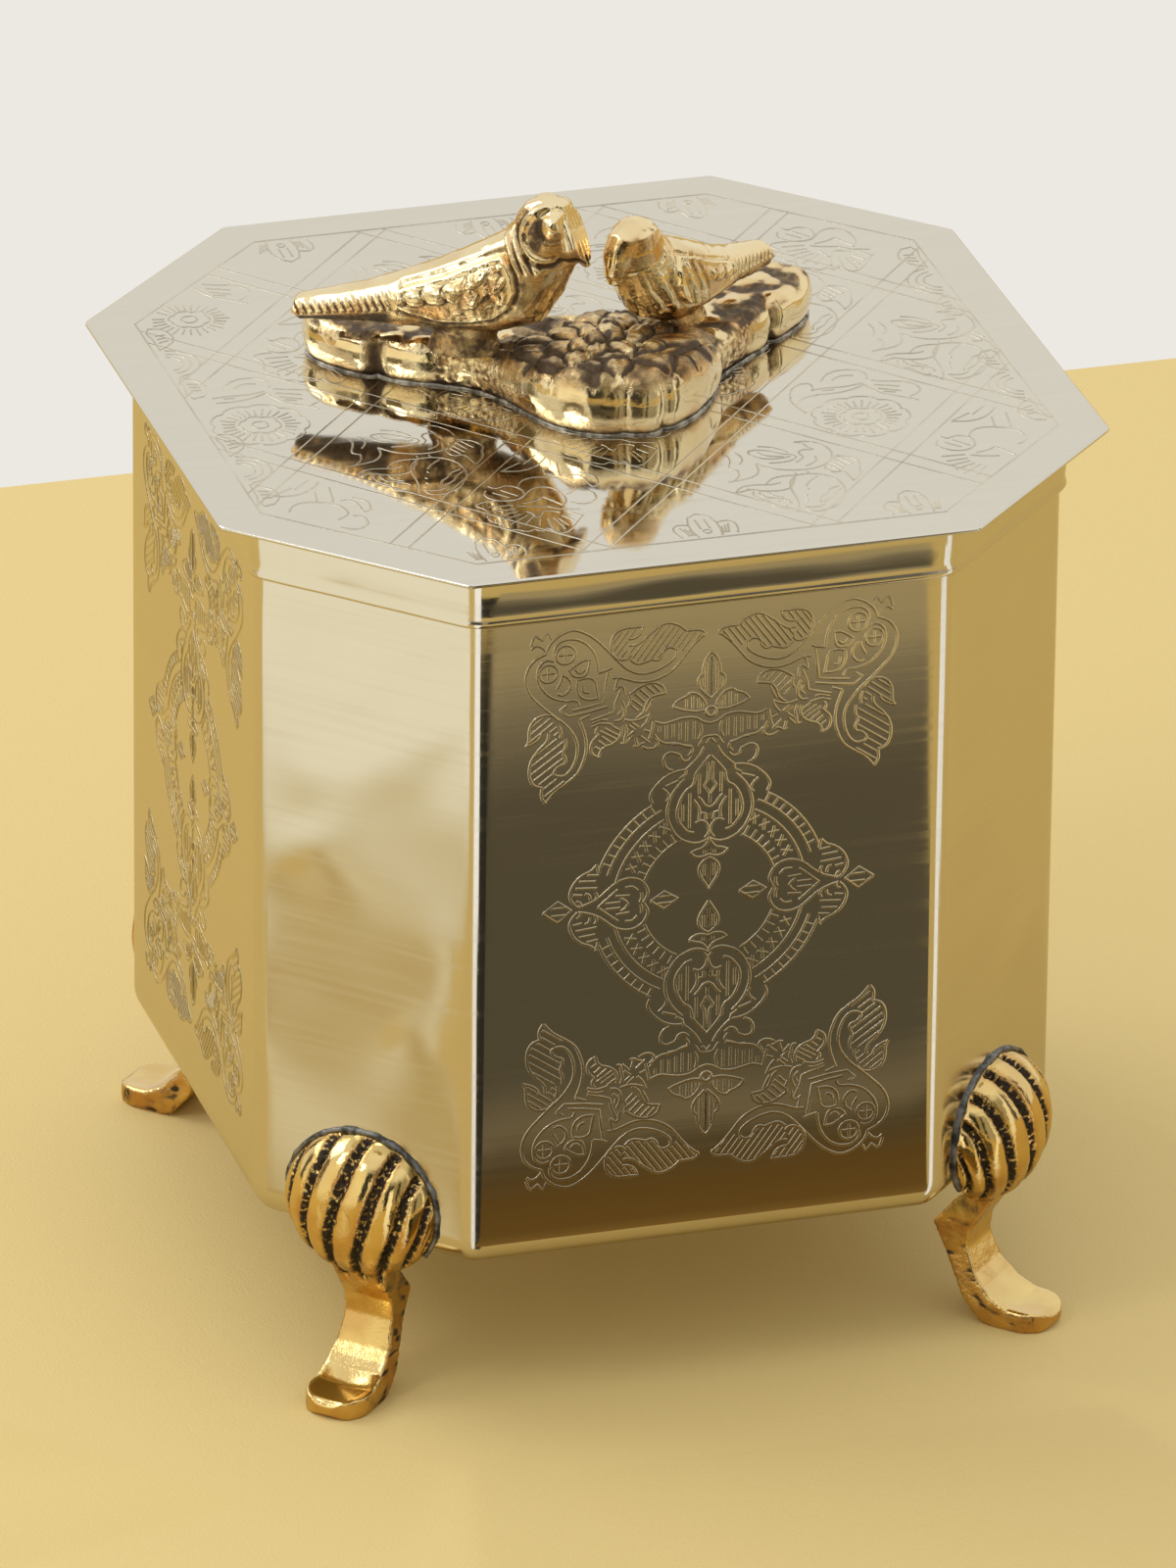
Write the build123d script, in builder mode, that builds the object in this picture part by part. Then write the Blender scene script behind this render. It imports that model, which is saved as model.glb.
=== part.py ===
"""A footed eight-sided paan box: sheet-metal body and lift-off lid, cast brass feet and finial.

Millimetres, +Z up. The origin is on the ground under the middle of the box, and the
engraved front face looks along -Y. Four wide faces are joined by four narrow corner faces.
"""

import os
from math import cos, radians, sin, sqrt

from build123d import *

# ---------------------------------------------------------------- driving dimensions
# body
BODY_ACROSS = 163.2        # between two opposite wide faces, outside
CORNER_CUT = 34.1          # cut back at each corner, along both sides
BODY_HEIGHT = 150.6
FOOT_HEIGHT = 31.5         # ground to the underside of the body
SHEET = 0.8                # body and tray sheet
BEND_RADIUS = 4.4          # outside of the eight upright bends
BASE_EDGE_RADIUS = 4.2     # outside of the turned-in bottom edge
BASE_FLANGE = 10.0         # turned-in flange that carries the base plate
BASE_SHEET = 1.0
BASE_PLAY = 0.3            # base plate to the start of the bend
STRAP_WIDTH = 10.0         # strap behind the wall's upright seam
STRAP_SHEET = 0.6
STRAP_TOP_GAP = 16.0       # strap ends this far under the rim
STRAP_BASE_GAP = 1.0       # and starts this far over the bottom bend

# lid
LID_SHEET = 0.9
LID_OVERHANG = 8.4         # lid plate beyond the body's faces
LID_CORNER_RADIUS = 2.5
SKIRT_SHEET = 0.7
SKIRT_PLAY = 0.4           # skirt to the body wall
SKIRT_DEPTH = 12.1
LID_SOLDER = 0.9           # bead under the plate, outside the skirt
LID_SOLDER_BEVEL = 0.55

# feet
KNEE_HALF_WIDTH = 16.5
KNEE_HALF_HEIGHT = 15.0
KNEE_BULGE = 10.5
KNEE_RAISE = 9.5           # middle of the knee above the underside of the body
LEG_HALF_WIDTH = 5.4
LEG_SPREAD = 0.7           # how much wider the leg is where it opens into the toe
LEG_SPREAD_TOP = 14.0      # height where the leg starts to open
LEG_SPREAD_MIDDLE = 9.0
LEG_INSET = 20.0           # the leg reaches at most this far inside the corner face
TOE_HALF_WIDTH = 6.7
TOE_REACH = 15.4           # toe tip beyond the corner face
TOE_TIP_RADIUS = 6.2
TOE_THICKNESS = 4.2
TOE_EDGE = 1.2             # bevel around the tip
KNEE_STEPS = (0.0, 0.3, 0.55, 0.75, 0.9, 0.98)   # sections of the dome, shares of its depth
FOOT_SOLDER = 0.8

# finial
PLINTH_HEIGHT = 9.5
PLINTH_EDGE = 2.6
HEAP_HEIGHT = 3.4          # petal heap above the plinth
HEAP_RADIUS = 10.5
HEAP_TAPER = 35.0
HEAP_AT = (-2.0, -12.5)
FINIAL_SOLDER = 0.9
FINIAL_SOLDER_RISE = 0.65
LEFT_BIRD_AT = (-26.0, -0.3)
LEFT_BIRD_TURN = -26.0
LEFT_BIRD_DIP = 1.0        # degrees, head down
LEFT_BIRD_SIZE = 1.0       # against the stations below
RIGHT_BIRD_AT = (18.0, 0.8)
RIGHT_BIRD_TURN = 211.0
RIGHT_BIRD_DIP = 3.4
RIGHT_BIRD_SIZE = 0.8

# tray and its brackets
TRAY_PLAY = 1.8            # tray to the body wall
TRAY_OVER_KNOBS = 6.0      # tray's underside above the tallest knob
TRAY_HEADROOM = 17.5       # top of the handles to the lid
TRAY_BEND = 4.5            # outside of the tray's upright bends
TRAY_EDGE_RADIUS = 2.0
TRAY_HEM = 4.0             # folded rim, height
BRACKET_WIDTH = 30.0
BRACKET_DROP = 12.0
BRACKET_LEDGE = 6.0
BRACKET_SHEET = 1.0
HANDLE_WIDTH = 52.0
HANDLE_RISE = 14.0         # above the tray's rim
HANDLE_DROP = 12.0         # below the rim, where it is riveted
HANDLE_SHEET = 1.2
HANDLE_BAR = 6.0           # solid metal around the finger slot
HANDLE_SLOT_LAP = 1.0      # slot reaches this far below the tray's rim
HANDLE_CORNER = 6.0
HANDLE_SLOT_ROUND = 0.49   # radius of the slot's ends, share of its height
RIVET_RADIUS = 1.3
RIVET_PLAY = 0.05
RIVET_HEAD = 2.4
RIVET_HEAD_HEIGHT = 0.8
RIVET_HEAD_LAND = 0.6      # the head's flat top, share of its radius
RIVET_HEAD_TURN = 0.8      # and the height where it starts, share of the head's
RIVET_PITCH = 38.0

# cups
CAP_GAP = 7.2              # between the caps of two neighbours
CAP_CORNER_PLAY = 0.8      # caps to the tray brackets
LIME_GAP = 0.6             # the lime cup's cap to the four others
CUP_HEIGHT = 54.0
LIME_CUP_DROP = 8.0        # the lime cup is this much lower than the others
CUP_SHEET = 0.8
CUP_BEAD = 0.8             # rolled rim stands proud of the wall
CUP_EDGE_RADIUS = 3.0
CAP_PLAY = 0.3             # cap skirt to the rolled rim
CAP_DEPTH = 8.0
CAP_RISE = 5.0
CAP_LAND = 4.2             # flat under the knob
CAP_SHOULDER = 1.6         # flat ring inside the cap's rim
CAP_TURN_OUT = 0.72        # where the dome changes slope: share of its radius
CAP_TURN_UP = 0.62         # and share of its rise
CAP_BEVEL = 0.5
KNOB_RADIUS = 4.6
KNOB_NECK = 2.2
KNOB_FOOT = 3.6
KNOB_FOOT_HEIGHT = 0.8
KNOB_NECK_HEIGHT = 2.0
KNOB_WAIST = 0.55          # widest place, share of the height
KNOB_HEIGHT = 9.0

# spoons
SPOON_BALL = 8.0           # outside radius of the ball that the bowl is part of
SPOON_SHEET = 0.8
SPOON_DEPTH = 3.6
SPOON_LENGTH = 84.0
SPOON_STEM = 1.2
SPOON_STEM_RISE = 6.0
SPOON_TIP = 2.3
SPOON_STEM_CREST = 0.45    # highest place of the stem, share of the length
SPOON_STEM_LAP = 0.2       # the stem starts this far inside the bowl's rim
SPOON_STEM_DROP = 0.6      # and this far under it
SPOON_SIDE_GAP = 20.0      # first spoon to the tray's front wall
SPOON_SPACING = 17.0

# ---------------------------------------------------------------- derived places
HALF_BODY = BODY_ACROSS / 2
CORNER_FACE = (2 * HALF_BODY - CORNER_CUT) / sqrt(2)      # centre to a corner face
BODY_TOP = FOOT_HEIGHT + BODY_HEIGHT
LID_TOP = BODY_TOP + LID_SHEET
BASE_TOP = FOOT_HEIGHT + SHEET + BASE_SHEET
BEND_OVER_EDGE = 0.2       # an upright bend is at least this much larger than the bottom edge
EDGE_RADIUS = min(BASE_EDGE_RADIUS, BEND_RADIUS - BEND_OVER_EDGE)
INSIDE_BEND = BEND_RADIUS - SHEET
KNEE_CENTRE = FOOT_HEIGHT + KNEE_RAISE
TRAY_FLOOR = BASE_TOP + CUP_HEIGHT + CAP_RISE + CUP_SHEET + KNOB_HEIGHT + TRAY_OVER_KNOBS
TRAY_RIM = BODY_TOP - TRAY_HEADROOM - HANDLE_RISE
TRAY_DEPTH = TRAY_RIM - TRAY_FLOOR
CAP_SIDE = CUP_BEAD + CAP_PLAY + CUP_SHEET                # cup wall to the outside of its cap
CAP_REACH = CORNER_FACE - SHEET - BRACKET_LEDGE - CAP_CORNER_PLAY
CAP_RADIUS = (CAP_REACH - CAP_GAP / sqrt(2)) / (1 + sqrt(2))
CUP_RADIUS = CAP_RADIUS - CAP_SIDE
HALF_SPACING = CAP_RADIUS + CAP_GAP / 2
LIME_CUP_HEIGHT = CUP_HEIGHT - LIME_CUP_DROP
LIME_CUP_RADIUS = sqrt(2) * HALF_SPACING - CAP_RADIUS - LIME_GAP - CAP_SIDE
CORNER_ANGLES = {
    "front_left": 225,
    "front_right": 315,
    "back_right": 45,
    "back_left": 135,
}

os.makedirs("parts", exist_ok=True)


def save(built, label):
    """Label a finished piece and write its STEP file."""
    built.part.label = label
    export_step(built.part, f"parts/{label}.step")


def octagon(grow=0.0, bend=0.0):
    """The body's outline with every face moved outwards by grow."""
    side = BODY_ACROSS + 2 * grow
    with BuildSketch(mode=Mode.PRIVATE) as outline:
        Rectangle(side, side)
        chamfer(outline.vertices(), CORNER_CUT + grow * (2 - sqrt(2)))
        if bend > 0:
            fillet(outline.vertices(), bend)
    return outline.sketch


def rounded_block(grow, bend, edge, bottom, height):
    """An eight-sided block with rounded uprights and a rounded bottom edge."""
    with BuildPart() as block:
        with BuildSketch(Plane.XY.offset(bottom)):
            add(octagon(grow, bend))
        extrude(amount=height)
        fillet(block.faces().sort_by(Axis.Z)[0].edges(), edge)
    return block.part


def corner_plane(angle, distance, height):
    """A plane on a corner face: x runs along the face, y runs up, z points outwards."""
    outwards = (cos(radians(angle)), sin(radians(angle)), 0)
    along = (-sin(radians(angle)), cos(radians(angle)), 0)
    place = (distance * outwards[0], distance * outwards[1], height)
    return Plane(origin=place, x_dir=along, z_dir=outwards)


def upright_plane(angle):
    """A vertical plane through the axis: x runs outwards, y runs up."""
    outwards = (cos(radians(angle)), sin(radians(angle)), 0)
    side = (sin(radians(angle)), -cos(radians(angle)), 0)
    return Plane(origin=(0, 0, 0), x_dir=outwards, z_dir=side)


# ---------------------------------------------------------------- body
wall_outside = rounded_block(0, BEND_RADIUS, EDGE_RADIUS, FOOT_HEIGHT, BODY_HEIGHT)
wall_inside = rounded_block(
    -SHEET, INSIDE_BEND, EDGE_RADIUS - SHEET, FOOT_HEIGHT + SHEET, BODY_HEIGHT
)
with BuildPart() as body_wall:
    add(wall_outside)
    add(wall_inside, mode=Mode.SUBTRACT)
    with BuildSketch(Plane.XY.offset(FOOT_HEIGHT - 1)):
        add(octagon(-BASE_FLANGE))
    extrude(amount=SHEET + 2, mode=Mode.SUBTRACT)
save(body_wall, "body_wall")

with BuildPart() as base_plate:
    with BuildSketch(Plane.XY.offset(FOOT_HEIGHT + SHEET)):
        add(octagon(-EDGE_RADIUS - BASE_PLAY))
    extrude(amount=BASE_SHEET)
save(base_plate, "base_plate")

STRAP_BASE = FOOT_HEIGHT + EDGE_RADIUS + STRAP_BASE_GAP
with BuildPart() as seam_strap:
    with Locations((0, HALF_BODY - SHEET, STRAP_BASE)):
        Box(
            STRAP_WIDTH,
            STRAP_SHEET,
            BODY_TOP - STRAP_TOP_GAP - STRAP_BASE,
            align=(Align.CENTER, Align.MAX, Align.MIN),
        )
save(seam_strap, "seam_strap")

with BuildPart() as tray_brackets:
    for angle in CORNER_ANGLES.values():
        face = corner_plane(angle, CORNER_FACE - SHEET, TRAY_FLOOR)
        with Locations(face):
            Box(
                BRACKET_WIDTH,
                BRACKET_DROP,
                BRACKET_SHEET,
                align=(Align.CENTER, Align.MAX, Align.MAX),
            )
            Box(
                BRACKET_WIDTH,
                BRACKET_SHEET,
                BRACKET_LEDGE,
                align=(Align.CENTER, Align.MAX, Align.MAX),
            )
save(tray_brackets, "tray_brackets")


# ---------------------------------------------------------------- feet
def leg_side():
    """The leg seen from the side: x outwards from the middle of the box, y up."""
    face = CORNER_FACE
    tip = CORNER_FACE + TOE_REACH
    with BuildSketch(mode=Mode.PRIVATE) as side:
        with BuildLine():
            Polyline(
                (face, KNEE_CENTRE),
                (face, FOOT_HEIGHT - 2.0),
                (face - 5.5, 0.80 * FOOT_HEIGHT),
                (face - 10.0, 0.62 * FOOT_HEIGHT),
                (face - 2.6, 0.16 * FOOT_HEIGHT),
                (face + 1.2, 0.6),
                (face + 3.0, 0),
                (tip - TOE_EDGE, 0),
                (tip, TOE_EDGE),
                (tip, TOE_THICKNESS - TOE_EDGE),
                (tip - TOE_EDGE, TOE_THICKNESS),
                (face + 7.4, TOE_THICKNESS + 0.2),
                (face + 3.8, 0.19 * FOOT_HEIGHT),
                (face - 0.1, 0.31 * FOOT_HEIGHT),
                (face - 2.4, 0.49 * FOOT_HEIGHT),
                (face - 1.8, 0.62 * FOOT_HEIGHT),
                (face + 3.0, 0.86 * FOOT_HEIGHT),
                (face + 5.0, KNEE_CENTRE),
                close=True,
            )
        make_face()
    return side.sketch


def leg_front():
    """The leg seen from the front: narrow above, spreading into the toe."""
    knee_top = KNEE_CENTRE + 1
    with BuildSketch(mode=Mode.PRIVATE) as front:
        with BuildLine():
            Polyline(
                (-LEG_HALF_WIDTH, knee_top),
                (LEG_HALF_WIDTH, knee_top),
                (LEG_HALF_WIDTH, LEG_SPREAD_TOP),
            )
            Spline(
                (LEG_HALF_WIDTH, LEG_SPREAD_TOP),
                (LEG_HALF_WIDTH + LEG_SPREAD, LEG_SPREAD_MIDDLE),
                (TOE_HALF_WIDTH, TOE_THICKNESS),
            )
            Polyline(
                (TOE_HALF_WIDTH, TOE_THICKNESS),
                (TOE_HALF_WIDTH, -1),
                (-TOE_HALF_WIDTH, -1),
                (-TOE_HALF_WIDTH, TOE_THICKNESS),
            )
            Spline(
                (-TOE_HALF_WIDTH, TOE_THICKNESS),
                (-LEG_HALF_WIDTH - LEG_SPREAD, LEG_SPREAD_MIDDLE),
                (-LEG_HALF_WIDTH, LEG_SPREAD_TOP),
            )
            Line((-LEG_HALF_WIDTH, LEG_SPREAD_TOP), (-LEG_HALF_WIDTH, knee_top))
        make_face()
    return front.sketch


def knee(angle):
    """The swelling on the corner face: a flat back and an oval, domed front."""
    with BuildPart() as swelling:
        for depth in KNEE_STEPS:
            shrink = sqrt(1 - depth**2)
            distance = CORNER_FACE + depth * KNEE_BULGE
            with BuildSketch(corner_plane(angle, distance, KNEE_CENTRE)):
                Ellipse(KNEE_HALF_WIDTH * shrink, KNEE_HALF_HEIGHT * shrink)
        loft()
    return swelling.part


for corner, angle in CORNER_ANGLES.items():
    turned = Plane(Location((0, 0, 0), (0, 0, angle)))
    swelling = knee(angle)
    with BuildPart() as foot:
        with BuildSketch(upright_plane(angle)):
            add(leg_side())
        extrude(amount=TOE_HALF_WIDTH, both=True)
        with BuildSketch(corner_plane(angle, CORNER_FACE - LEG_INSET, 0)):
            add(leg_front())
        extrude(amount=LEG_INSET + TOE_REACH + 1, mode=Mode.INTERSECT)
        with BuildSketch(turned):
            with Locations((CORNER_FACE + TOE_REACH, 0)):
                RectangleRounded(
                    2 * (LEG_INSET + TOE_REACH),
                    2 * TOE_HALF_WIDTH,
                    TOE_TIP_RADIUS,
                    align=(Align.MAX, Align.CENTER),
                )
        extrude(amount=KNEE_CENTRE + 2, mode=Mode.INTERSECT)
        add(swelling)
    save(foot, f"foot_{corner}")

with BuildPart() as foot_solder:
    for angle in CORNER_ANGLES.values():
        with BuildSketch(corner_plane(angle, CORNER_FACE, KNEE_CENTRE)) as bead:
            Ellipse(KNEE_HALF_WIDTH + FOOT_SOLDER, KNEE_HALF_HEIGHT + FOOT_SOLDER)
            Ellipse(KNEE_HALF_WIDTH, KNEE_HALF_HEIGHT, mode=Mode.SUBTRACT)
            with Locations((0, FOOT_HEIGHT + EDGE_RADIUS - KNEE_CENTRE)):
                Rectangle(
                    3 * KNEE_HALF_WIDTH,
                    2 * KNEE_HALF_HEIGHT,
                    align=(Align.CENTER, Align.MAX),
                    mode=Mode.SUBTRACT,
                )
        extrude(amount=FOOT_SOLDER)
save(foot_solder, "foot_solder")

# ---------------------------------------------------------------- lid
with BuildPart() as lid_plate:
    with BuildSketch(Plane.XY.offset(BODY_TOP)):
        add(octagon(LID_OVERHANG, LID_CORNER_RADIUS))
    extrude(amount=LID_SHEET)
save(lid_plate, "lid_plate")

SKIRT_INSIDE = SKIRT_PLAY
SKIRT_OUTSIDE = SKIRT_PLAY + SKIRT_SHEET
with BuildPart() as lid_skirt:
    with BuildSketch(Plane.XY.offset(BODY_TOP)):
        add(octagon(SKIRT_OUTSIDE, BEND_RADIUS + SKIRT_OUTSIDE))
        add(octagon(SKIRT_INSIDE, BEND_RADIUS + SKIRT_INSIDE), mode=Mode.SUBTRACT)
    extrude(amount=-SKIRT_DEPTH)
save(lid_skirt, "lid_skirt")

with BuildPart() as lid_solder:
    with BuildSketch(Plane.XY.offset(BODY_TOP)):
        add(octagon(SKIRT_OUTSIDE + LID_SOLDER, BEND_RADIUS + SKIRT_OUTSIDE + LID_SOLDER))
        add(octagon(SKIRT_OUTSIDE, BEND_RADIUS + SKIRT_OUTSIDE), mode=Mode.SUBTRACT)
    extrude(amount=-LID_SOLDER)
    outer_low = lid_solder.faces().sort_by(Axis.Z)[0].outer_wire().edges()
    chamfer(outer_low, LID_SOLDER_BEVEL)
save(lid_solder, "lid_solder")


# ---------------------------------------------------------------- finial plinth
# bumps of the plinth's edge, seen from above: across, back, radius
PLINTH_BUMPS = (
    (-42.5, 19.5, 9.5),
    (-34.0, 9.5, 7.0),
    (-8.5, -20.0, 10.0),
    (3.5, -22.5, 9.8),
    (12.5, -18.5, 8.0),
    (33.0, 8.0, 6.5),
    (41.5, 17.0, 8.3),
)
PLINTH_WEB = (
    (-44.0, 27.0),
    (-20.0, 16.0),
    (0.0, 8.0),
    (20.0, 13.5),
    (42.0, 24.0),
    (39.0, 6.0),
    (29.0, -1.5),
    (22.5, -8.5),
    (20.0, -16.0),
    (0.0, -31.0),
    (-18.0, -17.0),
    (-21.5, -9.0),
    (-27.5, -2.0),
    (-38.0, 5.0),
)


def plinth_outline(grow=0.0):
    """Two arms and a front lobe with scalloped ends, seen from above."""
    with BuildSketch(mode=Mode.PRIVATE) as outline:
        Polygon(*PLINTH_WEB, align=None)
        for x, y, radius in PLINTH_BUMPS:
            with Locations((x, y)):
                Circle(radius)
        if grow:
            offset(amount=grow, kind=Kind.ARC)
    return outline.sketch


FINIAL_PLANE = Plane.XY.offset(LID_TOP)
with BuildPart() as finial_plinth:
    with BuildSketch(FINIAL_PLANE):
        add(plinth_outline())
    extrude(amount=PLINTH_HEIGHT)
    fillet(finial_plinth.faces().sort_by(Axis.Z)[-1].edges(), PLINTH_EDGE)
    with BuildSketch(FINIAL_PLANE.offset(PLINTH_HEIGHT)):
        with Locations(HEAP_AT):
            Circle(HEAP_RADIUS)
    extrude(amount=HEAP_HEIGHT, taper=HEAP_TAPER)
save(finial_plinth, "finial_plinth")

with BuildPart() as finial_solder:
    with BuildSketch(FINIAL_PLANE):
        add(plinth_outline(FINIAL_SOLDER))
        add(plinth_outline(), mode=Mode.SUBTRACT)
    extrude(amount=FINIAL_SOLDER_RISE)
save(finial_solder, "finial_solder")

# ---------------------------------------------------------------- birds
# stations along the bird: forwards, middle height, half width, half height
BIRD_STATIONS = (
    (-34.3, 5.0, 3.0, 1.9),
    (-28.0, 5.4, 4.2, 3.4),
    (-18.0, 7.5, 5.4, 4.3),
    (-8.0, 9.9, 7.4, 6.3),
    (2.0, 12.6, 8.6, 8.7),
    (10.0, 15.2, 8.0, 9.7),
    (15.5, 15.6, 6.2, 7.6),
    (18.0, 14.4, 3.6, 4.2),
)
BIRD_HEAD = (15.6, 25.8, 7.2)      # forwards, up, radius
BIRD_BEAK = ((17.6, 31.4), (20.8, 29.4), (22.9, 24.8), (23.6, 19.0), (20.6, 20.4), (17.6, 20.8))
BIRD_BEAK_HALF_WIDTH = 2.8
BIRD_LEGS_LENGTH = 13.0
BIRD_LEGS_WIDTH = 8.5
BIRD_LEGS_HEIGHT = 7.5
BIRD_LEGS_CORNER = 2.5


def bird(at, turn, dip, size):
    """A perched bird looking along its own x axis, standing on the plinth."""
    stand = Plane(Location((at[0], at[1], LID_TOP + PLINTH_HEIGHT), (0, 0, turn)))
    body = Plane(stand.location * Location((0, 0, 0), (0, dip, 0)))
    with BuildPart() as perched:
        for forwards, up, half_width, half_height in BIRD_STATIONS:
            section = Location((forwards * size, 0, up * size), (0, 90, 0))
            with BuildSketch(Plane(body.location * section)):
                Ellipse(half_height * size, half_width * size)
        loft()
        with Locations(body.location * Location((BIRD_HEAD[0] * size, 0, BIRD_HEAD[1] * size))):
            Sphere(BIRD_HEAD[2] * size)
        side = Location((0, 0, 0), (90, 0, 0))
        with BuildSketch(Plane(body.location * side)):
            Polygon(*[(forwards * size, up * size) for forwards, up in BIRD_BEAK], align=None)
        extrude(amount=BIRD_BEAK_HALF_WIDTH * size, both=True)
        with BuildSketch(stand):
            RectangleRounded(BIRD_LEGS_LENGTH * size, BIRD_LEGS_WIDTH * size, BIRD_LEGS_CORNER * size)
        extrude(amount=BIRD_LEGS_HEIGHT * size)
    return perched


save(bird(LEFT_BIRD_AT, LEFT_BIRD_TURN, LEFT_BIRD_DIP, LEFT_BIRD_SIZE), "bird_left")
save(bird(RIGHT_BIRD_AT, RIGHT_BIRD_TURN, RIGHT_BIRD_DIP, RIGHT_BIRD_SIZE), "bird_right")

# ---------------------------------------------------------------- leaf tray
TRAY_GROW = -SHEET - TRAY_PLAY
TRAY_EDGE = min(TRAY_EDGE_RADIUS, TRAY_BEND - BEND_OVER_EDGE)
RIVET_HEIGHT = TRAY_RIM - (TRAY_HEM + HANDLE_DROP) / 2
RIVET_HOLE_LENGTH = 3 * (SHEET + HANDLE_SHEET)
HALF_TRAY = HALF_BODY + TRAY_GROW
RIVET_PLACES = [(side, along) for side in (-1, 1) for along in (-RIVET_PITCH / 2, RIVET_PITCH / 2)]


def side_plane(side, distance, along=0.0, height=0.0):
    """A plane across the left (-1) or right (1) side: y runs up, z points outwards."""
    place = (side * distance, along, height)
    return Plane(origin=place, x_dir=(0, side, 0), z_dir=(side, 0, 0))


def rivet_plane(side, along):
    """A plane on the tray wall's inner face, pointing outwards through the wall."""
    return side_plane(side, HALF_TRAY - SHEET, along, RIVET_HEIGHT)


tray_outside = rounded_block(TRAY_GROW, TRAY_BEND, TRAY_EDGE, TRAY_FLOOR, TRAY_DEPTH)
tray_inside = rounded_block(
    TRAY_GROW - SHEET, TRAY_BEND - SHEET, TRAY_EDGE - SHEET, TRAY_FLOOR + SHEET, TRAY_DEPTH
)
with BuildPart() as leaf_tray:
    add(tray_outside)
    add(tray_inside, mode=Mode.SUBTRACT)
    with BuildSketch(Plane.XY.offset(TRAY_RIM - TRAY_HEM)):
        add(octagon(TRAY_GROW + SHEET, TRAY_BEND + SHEET))
        add(octagon(TRAY_GROW - SHEET, TRAY_BEND - SHEET), mode=Mode.SUBTRACT)
    extrude(amount=TRAY_HEM)
    for side, along in RIVET_PLACES:
        with Locations(rivet_plane(side, along)):
            Cylinder(RIVET_RADIUS + RIVET_PLAY, RIVET_HOLE_LENGTH, mode=Mode.SUBTRACT)
save(leaf_tray, "leaf_tray")

for side, name in ((-1, "tray_handle_left"), (1, "tray_handle_right")):
    handle_height = HANDLE_RISE + HANDLE_DROP
    slot_height = HANDLE_RISE - HANDLE_BAR + HANDLE_SLOT_LAP
    with BuildPart() as handle:
        with BuildSketch(side_plane(side, HALF_TRAY - SHEET)):
            with Locations((0, TRAY_RIM + HANDLE_RISE)):
                RectangleRounded(
                    HANDLE_WIDTH, handle_height, HANDLE_CORNER, align=(Align.CENTER, Align.MAX)
                )
            with Locations((0, TRAY_RIM + HANDLE_RISE - HANDLE_BAR)):
                RectangleRounded(
                    HANDLE_WIDTH - 2 * HANDLE_BAR,
                    slot_height,
                    HANDLE_SLOT_ROUND * slot_height,
                    align=(Align.CENTER, Align.MAX),
                    mode=Mode.SUBTRACT,
                )
        extrude(amount=-HANDLE_SHEET)
        for rivet_side, along in RIVET_PLACES:
            if rivet_side == side:
                with Locations(rivet_plane(side, along)):
                    Cylinder(RIVET_RADIUS + RIVET_PLAY, RIVET_HOLE_LENGTH, mode=Mode.SUBTRACT)
    save(handle, name)

with BuildPart() as rivet:
    with BuildSketch(Plane.XZ):
        with BuildLine():
            Polyline(
                (0, -HANDLE_SHEET - RIVET_HEAD_HEIGHT),
                (RIVET_HEAD * RIVET_HEAD_LAND, -HANDLE_SHEET - RIVET_HEAD_HEIGHT * RIVET_HEAD_TURN),
                (RIVET_HEAD, -HANDLE_SHEET),
                (RIVET_RADIUS, -HANDLE_SHEET),
                (RIVET_RADIUS, SHEET),
                (RIVET_HEAD, SHEET),
                (RIVET_HEAD * RIVET_HEAD_LAND, SHEET + RIVET_HEAD_HEIGHT * RIVET_HEAD_TURN),
                (0, SHEET + RIVET_HEAD_HEIGHT),
                close=True,
            )
        make_face()
    revolve(axis=Axis.Z)
with BuildPart() as tray_rivets:
    for side, along in RIVET_PLACES:
        with Locations(rivet_plane(side, along)):
            add(rivet.part)
save(tray_rivets, "tray_rivets")

# ---------------------------------------------------------------- cups, caps and knobs
CUPS = {
    "areca": (-HALF_SPACING, -HALF_SPACING, CUP_RADIUS, CUP_HEIGHT),
    "catechu": (HALF_SPACING, -HALF_SPACING, CUP_RADIUS, CUP_HEIGHT),
    "clove": (HALF_SPACING, HALF_SPACING, CUP_RADIUS, CUP_HEIGHT),
    "fennel": (-HALF_SPACING, HALF_SPACING, CUP_RADIUS, CUP_HEIGHT),
    "lime": (0, 0, LIME_CUP_RADIUS, LIME_CUP_HEIGHT),
}

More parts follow.
